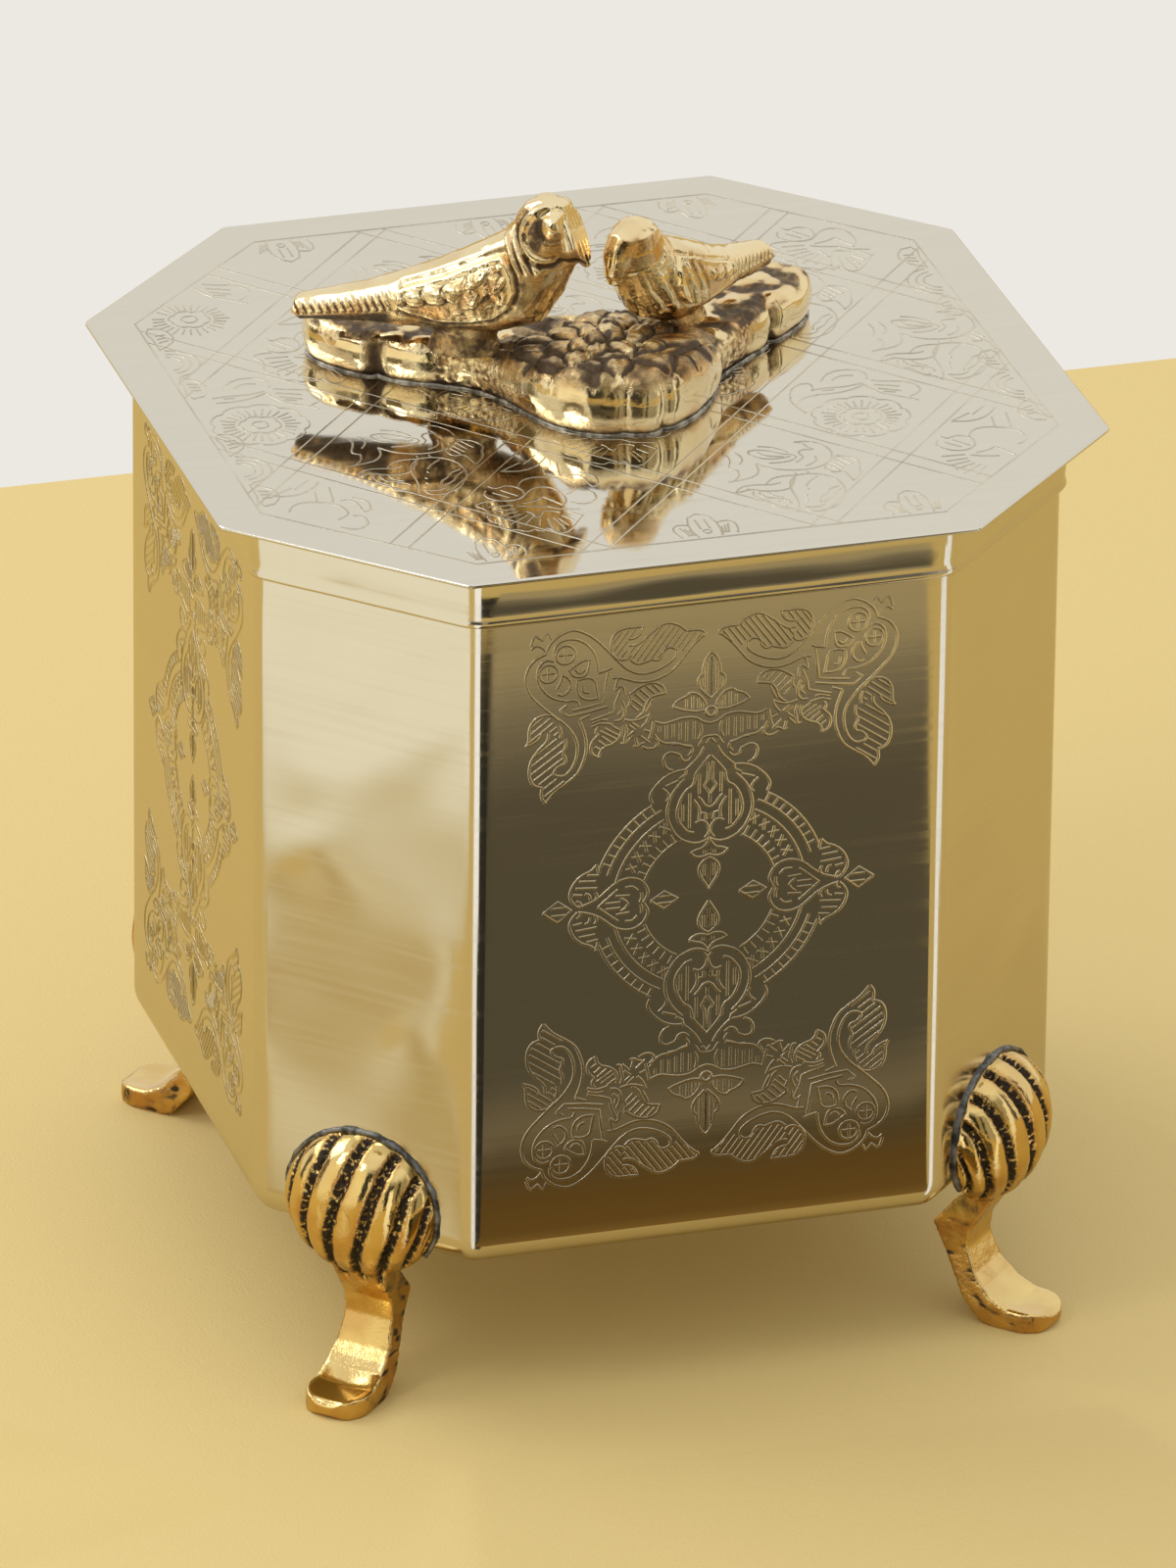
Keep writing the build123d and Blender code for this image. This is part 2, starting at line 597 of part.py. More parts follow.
for name, (x, y, radius, height) in CUPS.items():
    turning_plane = Plane(origin=(x, y, 0), x_dir=(1, 0, 0), z_dir=(0, -1, 0))
    turning_axis = Axis((x, y, 0), (0, 0, 1))
    rim = BASE_TOP + height
    bead_middle = rim - CUP_BEAD
    with BuildPart() as cup:
        with BuildSketch(turning_plane):
            with BuildLine():
                l1 = Line((0, BASE_TOP), (radius - CUP_EDGE_RADIUS, BASE_TOP))
                l2 = RadiusArc(l1 @ 1, (radius, BASE_TOP + CUP_EDGE_RADIUS), -CUP_EDGE_RADIUS)
                l3 = Line(l2 @ 1, (radius, bead_middle - CUP_BEAD))
                l4 = ThreePointArc(l3 @ 1, (radius + CUP_BEAD, bead_middle), (radius, rim))
                l5 = Line(l4 @ 1, (radius - CUP_SHEET, rim))
                l6 = Line(l5 @ 1, (radius - CUP_SHEET, BASE_TOP + CUP_EDGE_RADIUS))
                inside_corner = (radius - CUP_EDGE_RADIUS, BASE_TOP + CUP_SHEET)
                l7 = RadiusArc(l6 @ 1, inside_corner, CUP_EDGE_RADIUS - CUP_SHEET)
                l8 = Line(l7 @ 1, (0, BASE_TOP + CUP_SHEET))
                Line(l8 @ 1, (0, BASE_TOP))
            make_face()
        revolve(axis=turning_axis)
    save(cup, f"{name}_cup")

    cap_inside = radius + CUP_BEAD + CAP_PLAY
    cap_outside = cap_inside + CUP_SHEET
    land = rim + CAP_RISE
    turn_out = cap_inside * CAP_TURN_OUT
    turn_up = rim + CAP_RISE * CAP_TURN_UP
    with BuildPart() as cap:
        with BuildSketch(turning_plane):
            with BuildLine():
                Polyline(
                    (0, land),
                    (CAP_LAND, land),
                    (turn_out, turn_up),
                    (cap_inside - CAP_SHOULDER, rim),
                    (cap_inside, rim),
                    (cap_inside, rim - CAP_DEPTH),
                    (cap_outside, rim - CAP_DEPTH),
                    (cap_outside, rim + CUP_SHEET - CAP_BEVEL),
                    (cap_outside - CAP_BEVEL, rim + CUP_SHEET),
                    (cap_inside - CAP_SHOULDER, rim + CUP_SHEET),
                    (turn_out, turn_up + CUP_SHEET),
                    (CAP_LAND, land + CUP_SHEET),
                    (0, land + CUP_SHEET),
                    close=True,
                )
            make_face()
        revolve(axis=turning_axis)
    save(cap, f"{name}_cap")

    knob_foot = land + CUP_SHEET
    with BuildPart() as knob:
        with BuildSketch(turning_plane):
            with BuildLine():
                k1 = Line((0, knob_foot), (KNOB_FOOT, knob_foot))
                k2 = Line(k1 @ 1, (KNOB_FOOT, knob_foot + KNOB_FOOT_HEIGHT))
                k3 = Line(k2 @ 1, (KNOB_NECK, knob_foot + KNOB_NECK_HEIGHT))
                waist = (KNOB_RADIUS, knob_foot + KNOB_HEIGHT * KNOB_WAIST)
                tip = (0, knob_foot + KNOB_HEIGHT)
                k4 = Spline(k3 @ 1, waist, tip, tangents=((0.6, 1), (-1, 0.35)))
                Line(k4 @ 1, (0, knob_foot))
            make_face()
        revolve(axis=turning_axis)
    save(knob, f"{name}_knob")

# ---------------------------------------------------------------- spoons
SPOON_FLOOR = TRAY_FLOOR + SHEET
FIRST_SPOON = -HALF_TRAY + SPOON_SIDE_GAP
for name, y in {"lime_spoon": FIRST_SPOON + SPOON_SPACING, "catechu_spoon": FIRST_SPOON}.items():
    stand = Location((-SPOON_LENGTH / 2, y, SPOON_FLOOR))
    with BuildPart() as spoon:
        with Locations(stand * Location((0, 0, SPOON_BALL))):
            Sphere(SPOON_BALL)
            Sphere(SPOON_BALL - SPOON_SHEET, mode=Mode.SUBTRACT)
        with Locations(stand * Location((0, 0, SPOON_DEPTH))):
            Box(
                4 * SPOON_BALL,
                4 * SPOON_BALL,
                4 * SPOON_BALL,
                align=(Align.CENTER, Align.CENTER, Align.MIN),
                mode=Mode.SUBTRACT,
            )
        bowl_rim = sqrt(SPOON_BALL**2 - (SPOON_BALL - SPOON_DEPTH) ** 2)
        start = (bowl_rim - SPOON_STEM_LAP, 0, SPOON_DEPTH - SPOON_STEM_DROP)
        middle = (SPOON_LENGTH * SPOON_STEM_CREST, 0, SPOON_STEM_RISE)
        end = (SPOON_LENGTH, 0, SPOON_TIP)
        with BuildLine(Plane(stand)) as stem_line:
            ThreePointArc(start, middle, end)
        stem_start = Plane(origin=stem_line.line @ 0, z_dir=stem_line.line % 0)
        with BuildSketch(stem_start):
            Circle(SPOON_STEM)
        sweep()
        with Locations(stand * Location((SPOON_LENGTH, 0, SPOON_TIP))):
            Sphere(SPOON_TIP)
    save(spoon, name)
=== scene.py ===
# %% [markdown]
# # Dressing an eight-sided paan box
#
# A paan box holds what is folded into a betel leaf. This one is bent from thin white metal,
# stands on four cast brass feet and is lifted by a pair of cast birds. Its solids come from a
# CAD model and never change here. The lesson gives them finishes, cuts the ornament into
# sheet and lid, and puts carved castings in the place of the plain ones.

# %% Load the solids
import math
import random

import bmesh
import bpy
from mathutils import Matrix, Vector, noise


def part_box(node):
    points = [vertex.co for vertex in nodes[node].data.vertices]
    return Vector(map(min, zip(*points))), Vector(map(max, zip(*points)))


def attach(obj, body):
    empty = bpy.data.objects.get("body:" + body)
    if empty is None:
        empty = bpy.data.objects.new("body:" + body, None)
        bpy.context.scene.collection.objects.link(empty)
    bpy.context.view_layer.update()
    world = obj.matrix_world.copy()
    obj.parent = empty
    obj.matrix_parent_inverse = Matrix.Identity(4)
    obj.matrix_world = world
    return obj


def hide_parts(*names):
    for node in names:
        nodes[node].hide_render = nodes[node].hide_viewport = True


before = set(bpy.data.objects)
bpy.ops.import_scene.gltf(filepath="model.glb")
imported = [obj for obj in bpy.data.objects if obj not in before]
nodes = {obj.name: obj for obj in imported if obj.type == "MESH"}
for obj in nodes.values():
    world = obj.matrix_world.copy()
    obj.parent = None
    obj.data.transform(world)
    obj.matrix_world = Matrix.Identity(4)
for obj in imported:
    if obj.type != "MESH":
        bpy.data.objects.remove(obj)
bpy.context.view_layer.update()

MM = 0.001
scene = bpy.context.scene


def stood(name, data):
    """A new object in the scene, made of the given data."""
    made = bpy.data.objects.new(name, data)
    scene.collection.objects.link(made)
    return made


# %% [markdown]
# ## The camera
#
# A long lens far away keeps the box's uprights nearly parallel. The camera could be aimed
# with a constraint, but its three axes are simply written down as a rotation.

# %% Camera
BOX_MIDDLE = Vector((0, 0, 0.1))
eye = Vector((-0.8069, -2.7024, 1.4238))
ahead = Vector((0.2587, 0.8667, -0.4265))
right = Vector((0.9595, -0.2816, 0.0097))
upwards = Vector((0.1117, 0.4117, 0.9045))
lens = bpy.data.cameras.new("camera")
lens.sensor_fit = "HORIZONTAL"
lens.sensor_width = 36.0
lens.lens = 480.0
camera = stood("camera", lens)
camera.matrix_world = Matrix((
    (right.x, upwards.x, -ahead.x, eye.x),
    (right.y, upwards.y, -ahead.y, eye.y),
    (right.z, upwards.z, -ahead.z, eye.z),
    (0, 0, 0, 1),
))
scene.camera = camera
scene.view_settings.view_transform = "Standard"
print("camera", round((eye - BOX_MIDDLE).length, 2), "m from the box")

# %% [markdown]
# ## A bench for materials
#
# A material is a small machine of nodes. Wiring it by hand takes many lines, so two helpers
# do it: `Signal` wraps an output so that ordinary sums add Math nodes, and `Bench.add` makes
# any other node from its type, its settings and what goes into its sockets.

# %% Signals
class Signal:
    """An output of a node that can be added, multiplied and compared."""

    def __init__(self, bench, socket):
        self.bench = bench
        self.socket = socket

    def sums(self, operation, *terms):
        return self.bench.add("ShaderNodeMath", {"operation": operation}, dict(enumerate(terms)))

    def __add__(self, other):
        return self.sums("ADD", self, other)

    def __radd__(self, other):
        return self.sums("ADD", other, self)

    def __sub__(self, other):
        return self.sums("SUBTRACT", self, other)

    def __rsub__(self, other):
        return self.sums("SUBTRACT", other, self)

    def __mul__(self, other):
        return self.sums("MULTIPLY", self, other)

    def __truediv__(self, other):
        return self.sums("DIVIDE", self, other)

    def __abs__(self):
        return self.sums("ABSOLUTE", self)

    def between(self, low, high):
        """0 at low, 1 at high, with an eased run in between."""
        values = {"Value": self, "From Min": low, "From Max": high}
        return self.bench.add("ShaderNodeMapRange", {"interpolation_type": "SMOOTHSTEP"}, values)


# %% The bench
class Bench:
    """The nodes of one material or world."""

    def __init__(self, owner):
        self.owner = owner
        owner.use_nodes = True
        self.tree = owner.node_tree
        self.tree.nodes.clear()

    def add(self, kind, settings=None, values=None, output=0):
        node = self.tree.nodes.new(kind)
        for name, value in (settings or {}).items():
            if name == "stops":
                ramp = node.color_ramp
                while len(ramp.elements) < len(value):
                    ramp.elements.new(0.5)
                for element, (place, colour) in zip(ramp.elements, value):
                    element.position = place
                    element.color = (*colour, 1)
            else:
                setattr(node, name, value)
        for key, value in (values or {}).items():
            self.plug(node, key, value)
        return Signal(self, self.socket(node.outputs, output)) if node.outputs else node

    def socket(self, sockets, key):
        if isinstance(key, int):
            return sockets[key]
        found = [s for s in sockets if s.identifier == key]
        return found[0] if found else sockets[key]

    def plug(self, node, key, value):
        socket = self.socket(node.inputs, key)
        if isinstance(value, Signal):
            self.tree.links.new(value.socket, socket)
        elif socket.type == "RGBA" and len(value) == 3:
            socket.default_value = (*value, 1)
        else:
            socket.default_value = value

    def spot(self, scale=(1, 1, 1)):
        """Object coordinates, stretched by scale."""
        place = self.add("ShaderNodeTexCoord", output="Object")
        return self.add("ShaderNodeVectorMath", {"operation": "MULTIPLY"}, {0: place, 1: scale})

    def speckle(self, scale, detail=2.0, roughness=0.5, stretch=(1, 1, 1)):
        """Soft noise, scale spots per metre."""
        return self.add("ShaderNodeTexNoise", None, {
            "Vector": self.spot(stretch), "Scale": scale, "Detail": detail, "Roughness": roughness,
        })

    def part(self, vector, axis):
        """One of a vector's three numbers."""
        return self.add("ShaderNodeSeparateXYZ", None, {0: vector}, axis)

    def blend(self, factor, one, two):
        """Two colours mixed by factor."""
        values = {"Factor_Float": factor, "A_Color": one, "B_Color": two}
        return self.add("ShaderNodeMix", {"data_type": "RGBA"}, values, "Result_Color")

    def bump(self, height, distance, strength=1.0, under=None):
        """A normal from a height in units of distance metres."""
        values = {"Height": height, "Distance": distance, "Strength": strength}
        if under:
            values["Normal"] = under
        return self.add("ShaderNodeBump", None, values)

    def finish(self, surface):
        self.add("ShaderNodeOutputMaterial", None, {"Surface": surface})
        return self.owner

    def surface(self, tone, rough, normal, metallic=1.0):
        """The finished material as one lit surface, metal unless told otherwise."""
        return self.finish(self.add("ShaderNodeBsdfPrincipled", None, {
            "Base Color": tone, "Metallic": metallic, "Roughness": rough, "Normal": normal,
        }))

    def shine(self, tone, strength=1.0):
        """The finished material as a card that glows by itself."""
        values = {"Color": tone, "Strength": strength}
        return self.finish(self.add("ShaderNodeEmission", None, values))


def bench(name):
    """A bench for a new material."""
    return Bench(bpy.data.materials.new(name))


def times(colour, factor):
    return tuple(c * factor for c in colour)


# %% [markdown]
# ## White metal sheet
#
# The body and lid are German silver: a copper alloy that looks like warm, slightly yellow
# silver. It is polished with a mop, so it mirrors what stands around it, but the mop leaves
# hair-fine lines, and the hammered bends leave slow waves that make reflections swim. The
# lines are noise squeezed in one direction. The waves are stronger on the narrow corner
# faces, which were dressed by hand, so a mask from the face's own normal lets them in.

# %% Sheet finishes
def white_metal(name, colour, lines, gloss, wave, corner_wave):
    b = bench(name)
    fine = b.speckle(1.0, 3.0, 0.6, lines)
    coarse = b.speckle(0.31, 2.0, 0.5, lines)
    cloud = b.speckle(19.0, 3.0, 0.55)
    slow = b.speckle(26.0, 1.0, 0.4, (1, 1, 0.6))
    normal = b.add("ShaderNodeNewGeometry", output="True Normal")
    corner = abs(b.part(normal, "X") * b.part(normal, "Y")) * 2.0
    swell = slow * (corner * corner_wave + wave)
    tone = b.blend(cloud * 0.5 + coarse * 0.5, colour, times(colour, 0.9))
    worn = coarse.between(0.45, 0.75) * 0.06
    rough = gloss + worn + cloud.between(0.5, 0.8) * 0.04 + corner * 0.07
    waves = b.bump(swell, 0.001)
    hairs = b.bump(fine * 0.6 + coarse * 0.4, 0.00001, 0.4, waves)
    return b.surface(tone, rough, hairs)


SHEET_COLOUR = (0.775, 0.74, 0.655)
wall_metal = white_metal("wall_metal", SHEET_COLOUR, (60, 60, 2300), 0.07, 0.2, 0.5)
skirt_metal = white_metal("skirt_metal", SHEET_COLOUR, (60, 60, 1700), 0.07, 0.3, 0.5)
lid_metal = white_metal("lid_metal", SHEET_COLOUR, (45, 1500, 45), 0.04, 0.08, 0.0)
satin_metal = white_metal("satin_metal", (0.76, 0.735, 0.68), (30, 30, 1400), 0.24, 0.0, 0.0)
print("sheet finishes ready")

# %% [markdown]
# ## Engraved lines
#
# A chaser's tool ploughs a groove and leaves a burr on each side, so the line catches light
# twice and its floor is matt. The lines could be a mask in the sheet's own finish, but here
# they will be pieces of their own, so they simply get a metal that is rougher than the sheet
# and a little browner. On the side faces it is darker and browner still: painted shade.

# %% Engraving finish
def engraved_metal(name, colour, gloss):
    b = bench(name)
    tooth = b.speckle(2600.0, 2.0, 0.6)
    patch = b.speckle(60.0)
    tone = b.blend(patch.between(0.35, 0.7), colour, times(colour, 0.72))
    return b.surface(tone, tooth * 0.15 + gloss, b.bump(tooth, 0.00003, 0.5))


wall_groove = engraved_metal("wall_groove", (0.76, 0.71, 0.60), 0.12)
# the side faces get a darker, browner copy of the groove metal: painted shade, so that their lines
# don't turn pale where those faces mirror the white cards
shaded_side_groove = engraved_metal("shaded_side_groove", (0.70, 0.62, 0.44), 0.14)
lid_groove = engraved_metal("lid_groove", (0.76, 0.70, 0.57), 0.14)
print("finishes of the grooves ready")

# %% [markdown]
# ## Brass and solder
#
# The castings are yellow brass, polished where a buffing wheel can reach and left dark where
# it can't. Patina could be painted on, but paint is lost whenever the shape changes. So each
# carved piece carries two numbers at every point, which its finish reads: `hollow` is 0 on a
# crest and 1 at the bottom of a cut, and `rubbed` is 1 where the wheel left a mirror. On the
# knees' lower part and along the foot of the plinth's wall, `hollow` also carries painted
# shade. Knobs, cups and spoons show the rings of a lathe, which are noise squeezed flat.
# Solder is grey, dull and lumpy. Round the knees it is near black: partly the solder, partly
# painted shadow of the gap between knee and wall.

# %% Brass finishes
def patinated_brass(name, polish, shade, soot):
    """Cast brass: shade tints its bright tones, and soot is the colour of its cuts."""
    def toned_down(*colour):
        return tuple(c * s for c, s in zip(colour, shade))

    b = bench(name)
    hollow = b.add("ShaderNodeAttribute", {"attribute_name": "hollow"}, output="Fac")
    rub = b.add("ShaderNodeAttribute", {"attribute_name": "rubbed"}, output="Fac")
    specks = b.speckle(1500.0, 3.0, 0.65)
    stain = b.speckle(230.0, 4.0, 0.65)
    dark = (hollow + stain * 0.9 - 0.45 - rub * 0.5).between(0.12, 0.72)
    pale, deep = toned_down(0.88, 0.68, 0.36), toned_down(0.80, 0.55, 0.25)
    warm = b.blend(stain.between(0.35, 0.7), pale, deep)
    bright = b.blend(rub, warm, toned_down(0.92, 0.77, 0.47))
    heat = b.speckle(120.0).between(0.42, 0.66)
    toned = b.blend(heat * (0.85 - rub * 0.6), bright, (0.60, 0.33, 0.115))
    tone = b.blend(dark, toned, soot)
    rough = polish + dark * 0.33 + specks * 0.1 * (1.0 - rub)
    pits = specks * (hollow * 0.6 + 0.4) * (1.0 - rub * 0.85)
    return b.surface(tone, rough, b.bump(pits, 0.0004, 0.8), 1.0 - dark * 0.35)


cast_brass = patinated_brass("cast_brass", 0.08, (1.0, 1.0, 1.0), (0.095, 0.062, 0.036))
foot_brass = patinated_brass("foot_brass", 0.06, (0.90, 0.82, 0.58), (0.042, 0.029, 0.017))


# %% Turned metal
def turned_metal(name, colour, gloss):
    """Metal with the fine rings of a lathe."""
    b = bench(name)
    rings = b.speckle(1.0, 2.0, 0.6, (60, 60, 5200))
    cloud = b.speckle(90.0, 3.0, 0.6)
    tone = b.blend(cloud.between(0.4, 0.75), colour, times(colour, 0.8))
    return b.surface(tone, gloss + rings * 0.12 + cloud * 0.05, b.bump(rings, 0.00002, 0.7))


turned_brass = turned_metal("turned_brass", (0.86, 0.67, 0.36), 0.12)
spun_metal = turned_metal("spun_metal", (0.78, 0.755, 0.69), 0.17)


# %% Solder
def solder_grey(name, fresh, aged):
    b = bench(name)
    lumps = b.speckle(900.0, 3.0, 0.6)
    stain = b.speckle(300.0, 3.0, 0.6)
    tone = b.blend(stain.between(0.35, 0.65), fresh, aged)
    return b.surface(tone, 0.35 + lumps * 0.25, b.bump(lumps, 0.0003, 0.8), 0.9)


solder = solder_grey("solder", (0.56, 0.535, 0.48), (0.14, 0.125, 0.10))
# round the knees the solder is near black: partly the solder, partly painted shadow of the gap
# between knee and wall
knee_solder_and_gap_shade = solder_grey("knee_solder_and_gap_shade", (0.27, 0.275, 0.28), (0.05, 0.05, 0.053))
print("brass and solder ready")

# %% [markdown]
# ## Finishes on the solids
#
# Every solid keeps its shape and only gets a finish in its material slots. A table from names
# to finishes would do, but the names already say what a piece is, so a rule reads them.

# %% Dress the solids
def finish_for(name):
    if name == "lid_plate":
        return lid_metal
    if name == "lid_skirt":
        return skirt_metal
    if "solder" in name:
        return solder
    if name.startswith(("bird", "finial")):
        return cast_brass
    if name.startswith("foot"):
        return foot_brass
    if name.endswith("knob") or "spoon" in name or "rivet" in name:
        return turned_brass
    if name.endswith(("cup", "cap")):
        return spun_metal
    return wall_metal if name == "body_wall" else satin_metal


for name, solid in nodes.items():
    if not solid.material_slots:
        solid.data.materials.append(None)
    for slot in solid.material_slots:
        slot.material = finish_for(name)
print("dressed", len(nodes), "solids")

# %% [markdown]
# ## The table and the light
#
# Polished metal is painted by what it mirrors, so the surroundings are part of the finish.
# The table is a plain straw colour to the camera and ends behind the box against a pale wall,
# which the world stands for. To mirrored rays the table is a darker, browner straw: painted
# shade. A dark card lies in front of the box, as one is laid to keep a flat polished face from
# turning white; its browns near the box are painted shadow of the table there. White cards
# stand on both sides, and more lie at both bends of the front face to draw bright lines along
# them, with a dark one beside the left bend. A glowing card painted with pale and dark bands
# gives a corner face its slanting sheen: a painted reflection. All of them show in mirrored
# rays alone.

# %% Stage
def flat(name, corners, finish):
    mesh = bpy.data.meshes.new(name)
    mesh.from_pydata(corners, [], [tuple(range(len(corners)))])
    mesh.materials.append(finish)
    made = stood(name, mesh)
    return made


def mirrored_card(name, corners, finish):
    """A flat card that shows in mirrored rays and nowhere else."""
    made = flat(name, corners, finish)
    made.visible_camera = False
    made.visible_diffuse = False
    made.visible_shadow = False
    made.visible_transmission = False
    made.visible_volume_scatter = False


def cloth_finish():
    b = bench("table")
    weave = b.speckle(1400.0, 1.0)
    mirrored = b.add("ShaderNodeLightPath", output="Is Glossy Ray")
    # to mirrored rays the table shows a darker, browner straw: painted shade of the cloth that the
    # metal mirrors
    tone = b.blend(mirrored, (0.70, 0.547, 0.236), (0.57, 0.40, 0.115))
    return b.surface(tone, 0.75, b.bump(weave, 0.0002, 0.5), 0.0)


TABLE_END, FAR = 0.373, 9  # metres from the box to the table's rear edge and to its sides
table = cloth_finish()
front = [(-FAR, -FAR, 0), (FAR, -FAR, 0), (FAR, TABLE_END, 0), (-FAR, TABLE_END, 0)]
flat("table_top", front, table)
rear = [(-FAR, TABLE_END, 0), (FAR, TABLE_END, 0), (FAR, FAR, 0), (-FAR, FAR, 0)]
mirrored_card("table_behind", rear, table)


# %% The dark card
CARD_NEAR, CARD_FAR, CARD_UP = -0.11, -0.47, 0.002


def card_tones(stops):
    """A colour that runs through the stops from the card's far edge to its near one."""
    b = bench("dark_card")
    run_along = (b.part(b.spot(), "Y") - CARD_FAR) / (CARD_NEAR - CARD_FAR)
    return b.shine(b.add("ShaderNodeValToRGB", {"stops": stops}, {"Fac": run_along}))


# painted reflection for the front face: from the far edge a dim straw, a dark band with one paler
# stripe, and near the box browns that paint the table in the box's shadow
dark = card_tones([
    (0.0, (0.41, 0.31, 0.14)), (0.17, (0.40, 0.31, 0.15)), (0.23, (0.22, 0.175, 0.10)),
    (0.34, (0.105, 0.085, 0.049)), (0.70, (0.10, 0.082, 0.047)), (0.77, (0.20, 0.15, 0.075)),
    (0.80, (0.085, 0.06, 0.025)), (0.85, (0.135, 0.07, 0.014)), (1.0, (0.21, 0.115, 0.026)),
])
mirrored_card("dark_card", [
    (-0.056, CARD_NEAR, CARD_UP), (0.076, CARD_NEAR, CARD_UP),
    (0.182, CARD_FAR, CARD_UP), (0.052, CARD_FAR, CARD_UP),
], dark)


# %% The white cards
CARD_DISTANCE, CARD_GAP = 0.30, 0.003  # from the box, and over the table


def strip(name, bearing, half_width, height, strength, fade=0.0):
    """A white card that stands at a compass bearing from the box, straw-coloured below."""
    b = bench(name)
    white = b.part(b.spot(), "Z").between(-0.001, fade) if fade else 1.0
    tone = b.blend(white, (0.66, 0.52, 0.25), (1, 0.92, 0.70) if fade else (1, 0.97, 0.9))
    a = math.radians(bearing)
    middle = Vector((math.cos(a), math.sin(a), 0)) * CARD_DISTANCE
    side = Vector((-math.sin(a), math.cos(a), 0)) * half_width
    up = Vector((0, 0, height))
    low = Vector((0, 0, CARD_GAP))
    corners = [middle - side + low, middle + side + low, middle + side + up, middle - side + up]
    mirrored_card(name, corners, b.shine(tone, strength))


strip("left_strip", 247, 0.035, 0.16, 1.15)
strip("right_strip", 318, 0.03, 0.16, 1.0)
strip("left_card", 205.5, 0.12, 0.24, 1.0, 0.04)


# %% Cards under the bends
BEND_OUT, BEND_ASIDE = 0.0816, 0.0475  # from the middle to a wide face, and on to its bends
WEDGE_NEAR, WEDGE_FAR = 0.02, 0.37


def painted_sheen_card():
    """A glowing card on the table, painted with pale and dark slanting bands that a corner face
    mirrors as soft sheen: a painted reflection.
    """
    b = bench("painted_sheen_card")
    spot = b.spot()
    along = (b.part(spot, "X") + BEND_OUT) * -0.203
    across = along - (b.part(spot, "Y") + BEND_ASIDE) * 2.819
    ripple = b.speckle(11.0, 1.0) * 0.06
    turn = (across + ripple - 0.15) * (math.tau / 0.145)
    wave = b.add("ShaderNodeMath", {"operation": "COSINE"}, {0: turn})
    tone = b.blend((wave * 0.5 + 0.5) * 0.9, (0.55, 0.38, 0.125), (0.87, 0.74, 0.45))
    edge = ((-0.137, -0.058), (-0.099, -0.104), (-0.267, -0.155), (-0.305, -0.108))
    mirrored_card("painted_sheen_card", [(x, y, 0.0015) for x, y in edge], b.shine(tone))


def wedge(name, x, bearings, tone=(1, 0.96, 0.87), up=0.0025):
    """A card on the table that spreads from under a bend and shows along all of it."""
    bend = Vector((x, -BEND_OUT, up))
    corners = []
    reaches = (WEDGE_NEAR, WEDGE_NEAR, WEDGE_FAR, WEDGE_FAR)
    for bearing, reach in zip((*bearings, *reversed(bearings)), reaches):
        a = math.radians(bearing)
        corners.append(bend + Vector((math.cos(a), math.sin(a), 0)) * reach)
    mirrored_card(name, corners, bench(name).shine(tone, 1.05))


painted_sheen_card()
wedge("left_wedge", -BEND_ASIDE, (241, 255))
wedge("right_wedge", BEND_ASIDE, (311, 327))
wedge("left_dark_wedge", -BEND_ASIDE, (256, 285), (0.03, 0.026, 0.018), 0.0018)
print("table and cards ready")


# %% The room
def surroundings():
    """Plain light for everything, and bands of light and dark for polished metal to mirror."""
    b = Bench(bpy.data.worlds.new("studio"))
    scene.world = b.owner
    camera_sees = b.add("ShaderNodeLightPath", output="Is Camera Ray")
    mirrored = b.add("ShaderNodeLightPath", output="Is Glossy Ray")
    way = b.add("ShaderNodeTexCoord", output="Generated")
    sides = {0: b.part(way, "Y"), 1: b.part(way, "X")}
    bearing = b.add("ShaderNodeMath", {"operation": "ARCTAN2"}, sides)
    bands = b.add("ShaderNodeValToRGB", {"stops": [
        (0.0, (0.86, 0.84, 0.79)), (0.02, (0.8, 0.77, 0.70)), (0.035, (0.22, 0.19, 0.13)),
        (0.09, (0.20, 0.17, 0.11)), (0.10, (1.0, 0.98, 0.92)), (0.125, (1.0, 0.98, 0.92)),
        (0.14, (0.045, 0.04, 0.03)), (0.222, (0.045, 0.04, 0.03)), (0.232, (0.36, 0.30, 0.19)),
        (0.266, (0.36, 0.30, 0.19)), (0.276, (0.05, 0.045, 0.035)), (0.29, (0.05, 0.045, 0.035)),
        (0.31, (0.42, 0.38, 0.30)), (0.385, (0.36, 0.32, 0.25)), (0.41, (1.0, 0.98, 0.93)),
        (0.425, (1.0, 0.98, 0.93)), (0.437, (0.12, 0.10, 0.07)), (0.466, (0.12, 0.10, 0.07)),
        (0.48, (0.9, 0.88, 0.82)), (0.52, (0.86, 0.84, 0.79)), (0.885, (0.86, 0.84, 0.79)),
        (0.90, (0.15, 0.12, 0.07)), (0.94, (0.15, 0.12, 0.07)), (0.955, (1.0, 0.98, 0.93)),
        (1.0, (0.86, 0.84, 0.79)),
    ]}, {"Fac": bearing * (0.5 / math.pi) + 0.5})
    height = b.part(way, "Z")
    room = b.blend(height.between(0.55, 0.85), bands, (0.93, 0.915, 0.87))
    even = b.blend(height.between(0.10, 0.40), (1.2, 0.96, 0.45), (0.93, 0.915, 0.88))
    plain = b.blend(mirrored, even, room)
    tone = b.blend(camera_sees, plain, (0.84, 0.815, 0.768))
    background = b.add("ShaderNodeBackground", None, {"Color": tone, "Strength": 1.0})
    b.add("ShaderNodeOutputWorld", None, {"Surface": background})


surroundings()


# %% The lamps
def softbox(name, place, width, height, power):
    """A rectangular lamp that faces the middle of the box."""
    lamp = bpy.data.lights.new(name, "AREA")
    lamp.shape = "RECTANGLE"
    lamp.size, lamp.size_y = width, height
    lamp.energy = power
    way = BOX_MIDDLE - Vector(place)
    turn = way.to_track_quat("-Z", "Y").to_matrix().to_4x4()
    stood(name, lamp).matrix_world = Matrix.Translation(place) @ turn


